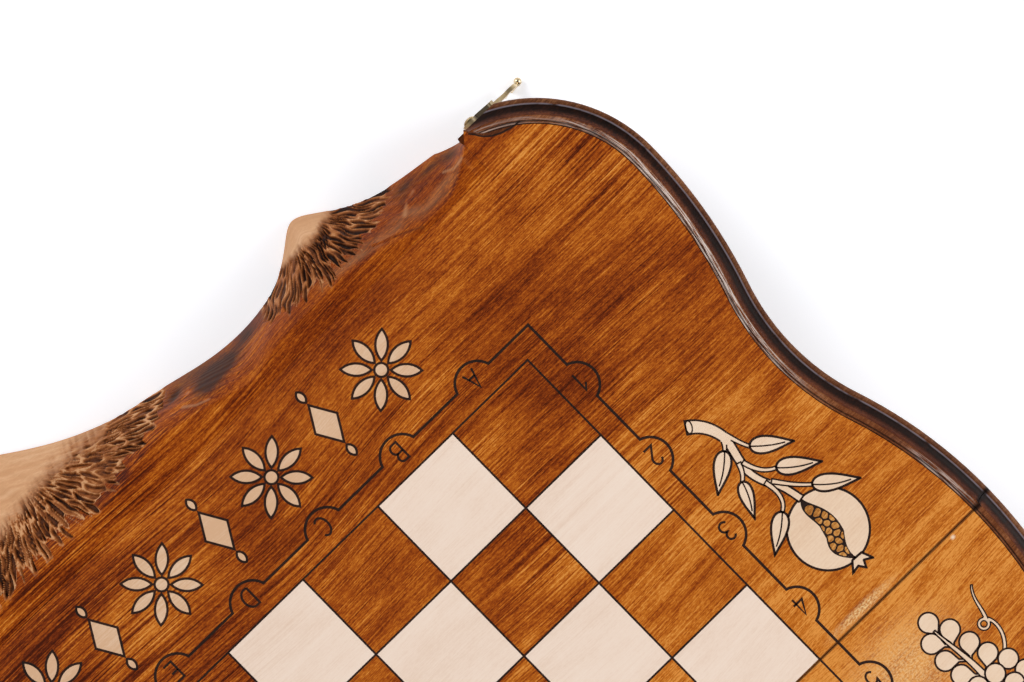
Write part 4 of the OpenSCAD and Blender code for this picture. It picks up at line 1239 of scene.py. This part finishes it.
# %% The part of an outline that shows
def inside(points, edge):
    """Whether each point lies inside a closed outline, by counting crossings of a ray."""
    x, y = points[:, :1], points[:, 1:]
    ax, ay = edge[:, 0], edge[:, 1]
    bx, by = np.roll(ax, -1), np.roll(ay, -1)
    rise = np.where(by == ay, 1.0, by - ay)
    crossed = ((ay > y) != (by > y)) & (x < (bx - ax) * (y - ay) / rise + ax)
    return crossed.sum(1) % 2 == 1


def evenly(path, step=0.35):
    """The closed path walked in equal steps."""
    ring = np.vstack([path, path[:1]])
    walked = np.concatenate([[0], np.cumsum(np.linalg.norm(np.diff(ring, axis=0), axis=1))])
    at = np.linspace(0, walked[-1], max(8, int(walked[-1] / step)), endpoint=False)
    return np.stack([np.interp(at, walked, ring[:, 0]), np.interp(at, walked, ring[:, 1])], 1)


def seen_outline(edge, in_front, width=OUTLINE):
    """Strips along the parts of an outline that none of the shapes in front hides."""
    walk = evenly(edge)
    shown = ~np.any([inside(walk, shape) for shape in in_front] + [np.zeros(len(walk), bool)], axis=0)
    if shown.all():
        return [line_strip(walk, width, closed=True)]
    if not shown.any():
        return []
    first = np.flatnonzero(~shown)[0]
    walk, shown = np.roll(walk, -first, 0), np.roll(shown, -first)
    cuts = np.flatnonzero(np.diff(shown.astype(int))) + 1
    runs = zip(np.split(walk, cuts), np.split(shown, cuts))
    return [line_strip(run, width) for run, on in runs if on[0] and len(run) > 2]


print("an arc hides its middle:", inside(np.array([(0.0, 0.0)]), arc(0, 0, 1, 1, 0, 350))[0])

# %% [markdown]
# ### The pomegranate
# A fruit hangs from a twig with six leaves, and has split open. The places were read from
# the photograph in millimetres on the board. Each twig is a curve with its width at either
# end. Each leaf has the curve of its stalk, its tip, its width and how far its vein bends.

# %% Places of the pomegranate
FRUIT, FRUIT_R = (-221.8, -37.8), 17.9
CROWN = np.array([(-2.9, -2.6), (-3.8, -0.5), (-5, 2.5), (-1.4, 0.4), (0.1, 3.5), (2.1, 0.6),
                  (5.8, 1.3), (2.3, -2.9)]) + (-222, -18)
TWIGS = [([(-208.2, -111.6), (-213.4, -108.5), (-217.2, -102.5), (-217.4, -94.5)], 6.1, 4.4),
         ([(-217.3, -96), (-216.4, -90.5), (-214.6, -85.5), (-214.4, -80.5)], 4, 3.8),
         ([(-214.4, -82), (-213.8, -77.5), (-215.5, -72.5), (-218.3, -67.5)], 3.4, 3),
         ([(-217.8, -69.5), (-220.3, -65.3), (-221.4, -61), (-222.5, -55.1)], 3, 3.4)]
LEAVES = [([(-218.4, -97.6), (-219.8, -93), (-220.6, -90), (-222.4, -86.8)], (-237.7, -75.1), 7.5, -0.04),
          ([(-215.4, -84), (-217, -77.6), (-219.8, -74), (-224.1, -72.2)], (-240.2, -60.4), 7.5, -0.05),
          ([(-218.6, -69.5), (-221.3, -66), (-224.4, -61.2), (-230.2, -56.3)], (-247.1, -43.7), 7.5, -0.06),
          ([(-216.4, -98.1), (-215.6, -95.2), (-214.5, -93.9), (-213.2, -92.8)], (-197.9, -81.3), 7.5, 0.05),
          ([(-213.9, -85), (-212.8, -81.5), (-211.6, -79.6), (-209.4, -78.1)], (-202.2, -63), 6.2, 0.05),
          ([(-216.2, -71), (-218, -64.5), (-217.2, -59.3), (-212.7, -56.8)], (-197.4, -45.7), 7.5, 0.05)]
SPLIT = joined(
    cubic([(-222.3, -54.7), (-223.3, -49.2), (-229.4, -44.4), (-225.9, -32.8)], 12)[:-1],
    cubic([(-225.9, -32.8), (-222.9, -29.1), (-220.5, -25.5), (-221.5, -20.9)], 12),
    cubic([(-218.6, -35.2), (-213.8, -29), (-217.8, -25.1), (-221.1, -21.1)], 12)[::-1],
    cubic([(-222, -54.7), (-217.8, -50.4), (-220.3, -46.1), (-220.1, -41)], 12)[::-1])
print("the split is", np.ptp(SPLIT, axis=0).round(1), "mm wide and tall")

# %% [markdown]
# ### Seeds in the split
# The split shows wood-coloured seeds in a dark net. Each seed is found by going out from its
# middle in many directions until it meets the middle line to a neighbour or the edge of the
# split, less half the thickness of the net. The seeds are low cushions, the net a thin plate.


# %% Slabs, cells and cushions
def slab(edge, low, high):
    """A flat plate with the given edge, between two heights."""
    count = len(edge)
    points = np.vstack([np.column_stack([edge, np.full(count, z)]) for z in (low, high)])
    faces = grid_faces(2, count, False, True) + end_faces(len(points), count)
    return points, facing_out(points, faces)


def seed_cells(edge, pitch=3.35, net=0.7, sides=20, reach=2.4):
    """The seeds of a split: the outline of each cell of a staggered pattern inside the edge."""
    rows, columns = np.mgrid[-8:9, -5:6]
    wobble = np.random.default_rng(8).uniform(-0.3, 0.3, rows.shape + (2,))
    middles = np.stack([(columns + 0.5 * (rows % 2)) * pitch, rows * pitch * 0.87], -1) + wobble
    middles = middles.reshape(-1, 2) + edge.mean(0)
    middles = middles[inside(middles, edge)]
    turn = np.linspace(0, 2 * np.pi, sides, endpoint=False)
    ray = np.stack([np.cos(turn), np.sin(turn)], 1)
    out = np.linspace(0.1, reach, 36)
    spots = middles[:, None, None] + ray[None, :, None] * (out[None, None, :, None] + net / 2)
    held = inside(spots.reshape(-1, 2), edge).reshape(spots.shape[:3])
    radius = np.where(held.all(2), reach, out[np.argmin(held, 2)] - 0.05)
    to_other = middles[None] - middles[:, None]
    apart = np.linalg.norm(to_other, axis=2)
    facing = (to_other[:, :, None] * ray).sum(3) / np.maximum(apart, 1e-6)[..., None]
    limit = np.where((facing > 0.05) & (apart > 0)[..., None],
                     (apart[..., None] / 2 - net / 2) / np.maximum(facing, 0.05), reach)
    radius = np.clip(np.minimum(radius, limit.min(1)), 0.02, reach)
    rounded = (np.roll(radius, 1, 1) + 2 * radius + np.roll(radius, -1, 1)) / 4
    big = rounded.mean(1) > 0.45
    return middles[big, None] + ray[None] * np.minimum(rounded, radius * 1.05)[big, :, None]


def pillow(edge, low, high):
    """A low cushion over an outline: rings drawn in towards its middle as they rise."""
    middle = edge.mean(0)
    rings = [(1.0, low), (0.93, low + 0.6 * (high - low)), (0.7, high), (0.05, high + 0.01)]
    points = np.vstack([np.column_stack([middle + (edge - middle) * k, np.full(len(edge), z)])
                        for k, z in rings])
    count = len(edge)
    faces = grid_faces(len(rings), count, False, True) + end_faces(len(points), count)
    return points, facing_out(points, faces)


seeds = [pillow(edge, TOP - 0.02, TOP + 0.07) for edge in seed_cells(SPLIT)]
net = [slab(SPLIT, TOP - 0.05, TOP + 0.012)]
print("seeds in one fruit:", len(seeds))

# %% Draw the fruit, twigs and leaves
twigs = [twig(*t) for t in TWIGS]
stalks = [twig(line, 2.2, 1.5) for line, *_ in LEAVES]
leaves = [leaf(line[-1], tip, width) for line, tip, width, _ in LEAVES]
strips = seen_outline(arc(*FRUIT, FRUIT_R, FRUIT_R, 0, 357, 120), [CROWN] + leaves + stalks + twigs)
strips += seen_outline(CROWN, []) + seen_outline(SPLIT, [], 0.8)
for k, shape in enumerate(twigs):
    strips += seen_outline(shape, twigs[:k] + twigs[k + 1:] + stalks + leaves, 0.95)
for shape in stalks:
    strips += seen_outline(shape, twigs[:1] + leaves, 0.8)
for shape, (line, tip, _, bend) in zip(leaves, LEAVES):
    strips += seen_outline(shape, [])
    strips.append(line_strip(leaf_vein(line[-1], tip, bend), 0.75))
begin, into, aside = np.array([-209.4, -110.9]), np.array([-0.859, 0.512]), np.array([0.512, 0.859])
ring = arc(0, 0, 1.4, 2.75, 0, 345, 24)
strips.append(line_strip(begin + ring[:, :1] * into + ring[:, 1:] * aside, 0.7, closed=True))
print("strips in one fruit:", len(strips))

# %% Make the seeds and outlines, left and right
seed_colour, tree, shader = new_material("seed")
grained = grain_of(tree, place_in(tree), flecks=1.3)
colour = three_tones(tree, grained["Tone"], (146, 88, 34), (200, 136, 66), (228, 176, 108))
varnish(tree, shader, grained, colour, 0.4, 0.1)
for hand, flip in (("left", 1), ("right", -1)):
    for label, parts, slot, finish in (("seeds", seeds, "stained_panel", seed_colour),
                                       ("outline", net + strips, "dark_inlay", burnt)):
        points, faces = piled(parts)
        points = points * (flip, 1, 1)
        new_piece(f"near_{hand}_pomegranate_{label}", points, facing_out(points, faces),
                  "near_half", slot, finish)

# %% [markdown]
# ### The grapes
# The bunch hangs under a leaf with five lobes. The upper grapes hang singly on short stalks
# and show how each narrows into its stalk; the lower ones crowd, each before the last. A
# tendril leaves the bunch, curls round once and ends in a point.

# %% Places and shapes of the grapes
GRAPE_R = 4.45
HANGING = np.array([(-224.3, -21.2), (-229, -29.7), (-218.9, -28.6), (-231.2, -39.4), (-218.1, -38),
                    (-233.7, -48.2), (-218.8, -47.1)])
BUNCHED = np.array([(-238.2, -56.2), (-229.7, -56.9), (-220.6, -55.8), (-212, -54.4), (-240.2, -64.7),
                    (-232.9, -65.4), (-224.3, -65), (-215.6, -63.6), (-236.3, -72.4), (-227.7, -73),
                    (-219.3, -72)])
STEM = [(-223.6, -25.5), (-224, -36), (-227, -46), (-225.4, -58.5)]
HEART, ROOT = np.array([-222.0, -97.0]), 3.0
LOBES = [(90, 15), (38, 15.5), (142, 15.5), (-24, 14), (204, 14)]


def petal(base, tip, width, count=14):
    """A leaf between two equal arcs. Each arc's half-width at the fraction f of the length
    is near width / 2 times sin(180 f) for a slender leaf; here it is exact."""
    base, tip = np.asarray(base, float), np.asarray(tip, float)
    run, long = tip - base, np.linalg.norm(tip - base)
    radius = (long ** 2 + width ** 2) / (4 * width)
    s = np.linspace(-long / 2, long / 2, count)[:, None]
    half = np.sqrt(radius ** 2 - s ** 2) - (radius - width / 2)
    ahead, across = run / long, np.array([-run[1], run[0]]) / long
    line = (base + tip) / 2 + ahead * s
    return joined(line + across * half, (line - across * half)[-2:0:-1])


def hanging_grape(middle):
    """A round grape that narrows into a stalk towards the place where it joins the stem."""
    f = min(1.0, (STEM[0][1] + 7.5 - middle[1]) / (STEM[0][1] - STEM[3][1]))
    join = cubic(STEM, 101)[int(round(100 * max(0.0, f)))]
    run = join - middle
    long = np.linalg.norm(run)
    ahead, across = run / long, np.array([-run[1], run[0]]) / long
    turn = math.degrees(math.atan2(run[1], run[0]))
    neck = [(5.6, -0.9), (5.9, -0.6), (long, -0.5), (long, 0.5), (5.9, 0.6), (5.6, 0.9)]
    return joined(arc(*middle, GRAPE_R, GRAPE_R, turn + 50.5, turn + 309.5, 30),
                  *[middle + ahead * u + across * w for u, w in neck])


print("grapes in one bunch:", len(HANGING) + len(BUNCHED))

# %% Draw the grapes
stem = twig(STEM, 1, 3.4)
hung = [hanging_grape(g) for g in HANGING]
bunch = [arc(*g, GRAPE_R, GRAPE_R, 0, 350, 36) for g in BUNCHED]
curl = arc(-241.1, -38.2, 2.8, 2.8, 0, 345, 24)
curl_hole = arc(-241.1, -38.2, 1.4, 1.4, 0, 345, 24)
tendril = twig([(-238.9, -53), (-245, -48.5), (-246.5, -40.5), (-243, -36.6)], 1.6, 1.4)
tail = twig([(-243.2, -37.4), (-245.6, -32.5), (-244.6, -27), (-249, -22.4)], 1.7, 0.8)
lobes = [petal(HEART + ROOT * ray, HEART - length * ray, 9.5)
         for length, ray in [(l, np.array([math.cos(math.radians(d)), math.sin(math.radians(d))]))
                             for d, l in LOBES]]
leaf_stalk = twig([(-223.6, -74), (-221.5, -80), (-221, -86), (-222, -92)], 3.6, 3)
strips = []
for k, shape in enumerate(hung):
    strips += seen_outline(shape, hung[k + 1:] + [stem] + bunch, 0.95)
for k, shape in enumerate(bunch):
    strips += seen_outline(shape, bunch[k + 1:], 0.95)
strips += seen_outline(stem, bunch, 0.85)
strips += seen_outline(tendril, [curl, tail] + bunch, 0.7) + seen_outline(tail, [curl], 0.7)
strips += seen_outline(curl, [tendril, tail], 0.7) + seen_outline(curl_hole, [], 0.7)
for k, shape in enumerate(lobes):
    strips += seen_outline(shape, lobes[:k] + lobes[k + 1:])
    vein = [HEART + (shape[13] - HEART) * f for f in (0, 0.3, 0.5, 0.75)]
    strips.append(line_strip(cubic(vein), 0.6))
strips += seen_outline(leaf_stalk, lobes + bunch, 0.8)
for hand, flip in (("left", 1), ("right", -1)):
    points, faces = piled(strips)
    points = points * (flip, -1, 1)
    new_piece(f"far_{hand}_grapes_outline", points, facing_out(points, faces), "far_half",
              "dark_inlay", burnt)

# %% [markdown]
# ## Slots in the hinge screws
# The hinges lie on the underside. A countersunk wood screw has a driver slot across its
# head, so each head gets a dark bar, sunk in it and turned at random as on a real board.

# %% Screw slots
SCREW_Y, SLOT_L, SLOT_W, SLOT_DEEP = 6.8, 3.2, 0.6, 0.3
BAR = [(-1, -0.8), (-0.9, -1), (0.9, -1), (1, -0.8), (1, 0.8), (0.9, 1), (-0.9, 1), (-1, 0.8)]
head_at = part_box("near_hinge_screws")[0].z / MM
hinge_middles = [sum(c.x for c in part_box(f"{hand}_hinge_pin")) / 2 / MM for hand in ("left", "right")]
screw_xs = [middle + dx for middle in hinge_middles for dx in (-18, 0, 18)]
turns = np.random.default_rng(3).uniform(0, np.pi, (2, 6))
for k, (half, side) in enumerate((("near", -1), ("far", 1))):
    bars = []
    for x, turn in zip(screw_xs, turns[k]):
        ahead = np.array([math.cos(turn), math.sin(turn)])
        across = np.array([-math.sin(turn), math.cos(turn)])
        corners = [ahead * u * SLOT_L / 2 + across * w * SLOT_W / 2 for u, w in BAR]
        bars.append(slab(np.array(corners) + (x, side * SCREW_Y), head_at - 0.02, head_at + SLOT_DEEP))
    new_piece(f"{half}_screw_slots", *piled(bars), f"{half}_half", "dark_inlay", burnt)

# %% [markdown]
# ## Floor and light
# The board lies on a plain pale floor in soft light. The floor reads a little brighter to
# the camera than it lights the board, which gives a clean white background, and still
# shows the board's shadow. The world is a white studio with a dark ceiling: a mirror that
# lies flat would show the ceiling, and only slopes and edges catch the white walls.
#
# The floor is two sheets that are solid only where their front looks up, so it never hides
# the board from a camera below. Both sheets ride on the far half. Opened flat, the board
# lies on the first. Folded, the far half hangs under the near one, the sheets have turned
# over with it, and the second is now the floor below the closed box. A window in the first
# sheet, and a skin of air 2 mm thick, let the light from below reach the open trays.

# %% Floor
floor_mesh = bpy.data.meshes.new("floor")
REACH, WINDOW, FOLDED_FLOOR = 3, (0.222, 0.238), 0.0467
SKIN_OF_AIR, GLOW = 0.002, 0.42
square = np.array([(-1, -1, 0), (1, -1, 0), (1, 1, 0), (-1, 1, 0)])
sheet = square * REACH
corners = np.concatenate([sheet, square * (*WINDOW, 0), sheet + (0, 0, FOLDED_FLOOR)])
ring = [(k, (k + 1) % 4, 4 + (k + 1) % 4, 4 + k) for k in range(4)]
floor_mesh.from_pydata(corners.tolist(), [], ring + [(11, 10, 9, 8)])
floor = bpy.data.objects.new("floor", floor_mesh)
bpy.context.scene.collection.objects.link(floor)
floor_paint, tree, shader = new_material("pale floor")
shader.inputs["Base Color"].default_value = paint(236, 237, 243)
shader.inputs["Roughness"].default_value = 0.9
shader.inputs["Specular IOR Level"].default_value = 0.1
path = add(tree, "ShaderNodeLightPath").outputs
seen = maths(tree, "MAXIMUM", path["Is Camera Ray"], path["Is Glossy Ray"])
glow = add(tree, "ShaderNodeEmission",
           {"Color": (1, 1, 1, 1), "Strength": times(tree, seen, GLOW)}).outputs[0]
both = add(tree, "ShaderNodeAddShader", {0: shader.outputs[0], 1: glow}).outputs[0]
face = add(tree, "ShaderNodeNewGeometry").outputs
looks_up = maths(tree, "GREATER_THAN", along(tree, face["Normal"], "Z"), 0.5)
solid = times(tree, less(tree, 1.0, face["Backfacing"]), looks_up)
solid = times(tree, solid, maths(tree, "GREATER_THAN", path["Ray Length"], SKIN_OF_AIR))
clear = add(tree, "ShaderNodeBsdfTransparent").outputs[0]
one_way = add(tree, "ShaderNodeMixShader", {0: solid, 1: clear, 2: both}).outputs[0]
tree.links.new(one_way, tree.nodes["Material Output"].inputs["Surface"])
floor_mesh.materials.append(floor_paint)
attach(floor, "far_half")
print("floor sheets at 0 and", round(FOLDED_FLOOR / MM, 1), "mm")

# %% World and lamps
from mathutils import Matrix, Vector

WALL_LIGHT, CEILING_LIGHT = 0.8, 0.1
scene = bpy.context.scene
scene.view_settings.view_transform = "Standard"
world = bpy.data.worlds.new("studio")
scene.world = world
world.use_nodes = True
tree = world.node_tree
upward = along(tree, add(tree, "ShaderNodeTexCoord").outputs["Generated"], "Z")
walls = fade(tree, upward, 0.95, 0.4)
around = plus(tree, times(tree, walls, WALL_LIGHT - CEILING_LIGHT), CEILING_LIGHT)
path = add(tree, "ShaderNodeLightPath").outputs
clear = maths(tree, "MAXIMUM", path["Is Camera Ray"], path["Is Transmission Ray"])
level = plus(tree, around, times(tree, clear, less(tree, 1.0, around)))
background = tree.nodes["Background"]
background.inputs["Color"].default_value = (1, 1, 1, 1)
tree.links.new(level, background.inputs["Strength"])


def softbox(name, place, target, size, power):
    """A square area lamp at a place, turned to face its target."""
    lamp = bpy.data.lights.new(name, "AREA")
    lamp.size, lamp.energy = size, power
    made = bpy.data.objects.new(name, lamp)
    scene.collection.objects.link(made)
    made.location = place
    made.rotation_euler = (Vector(target) - Vector(place)).to_track_quat("-Z", "Y").to_euler()
    return made


softbox("side softbox", (-1.35, 0.75, 1.0), (-0.15, -0.05, 0), 0.9, 14)
softbox("front softbox", (0.1, -1.5, 1.1), (-0.1, -0.15, 0), 0.9, 12)
softbox("back softbox", (0.9, 1.3, 1.3), (-0.1, -0.05, 0), 0.9, 8)

# %% [markdown]
# ## The camera
# The photograph looks straight down from about 60 cm. The camera's own axes are set from
# two directions on the board, the one that runs to the right in the picture and the one
# that runs up. A small shift frames the corner as the photograph does.

# %% Camera
VIEW_RIGHT, VIEW_UP = (-0.7155, 0.6986), (-0.6986, -0.7155)
VIEW_ANGLE, EYE, ABOVE_BOARD = 39.56, (-0.2073, -0.1954), 0.612
camera_data = bpy.data.cameras.new("camera")
camera_data.lens = 18 / math.tan(math.radians(VIEW_ANGLE / 2))
camera_data.shift_x, camera_data.shift_y = -0.0352, -0.0498
camera = bpy.data.objects.new("camera", camera_data)
scene.collection.objects.link(camera)
camera.matrix_world = Matrix((
    (VIEW_RIGHT[0], VIEW_UP[0], 0, EYE[0]),
    (VIEW_RIGHT[1], VIEW_UP[1], 0, EYE[1]),
    (0, 0, 1, top + ABOVE_BOARD),
    (0, 0, 0, 1)))
scene.camera = camera
print("lens", round(camera_data.lens, 2), "mm")
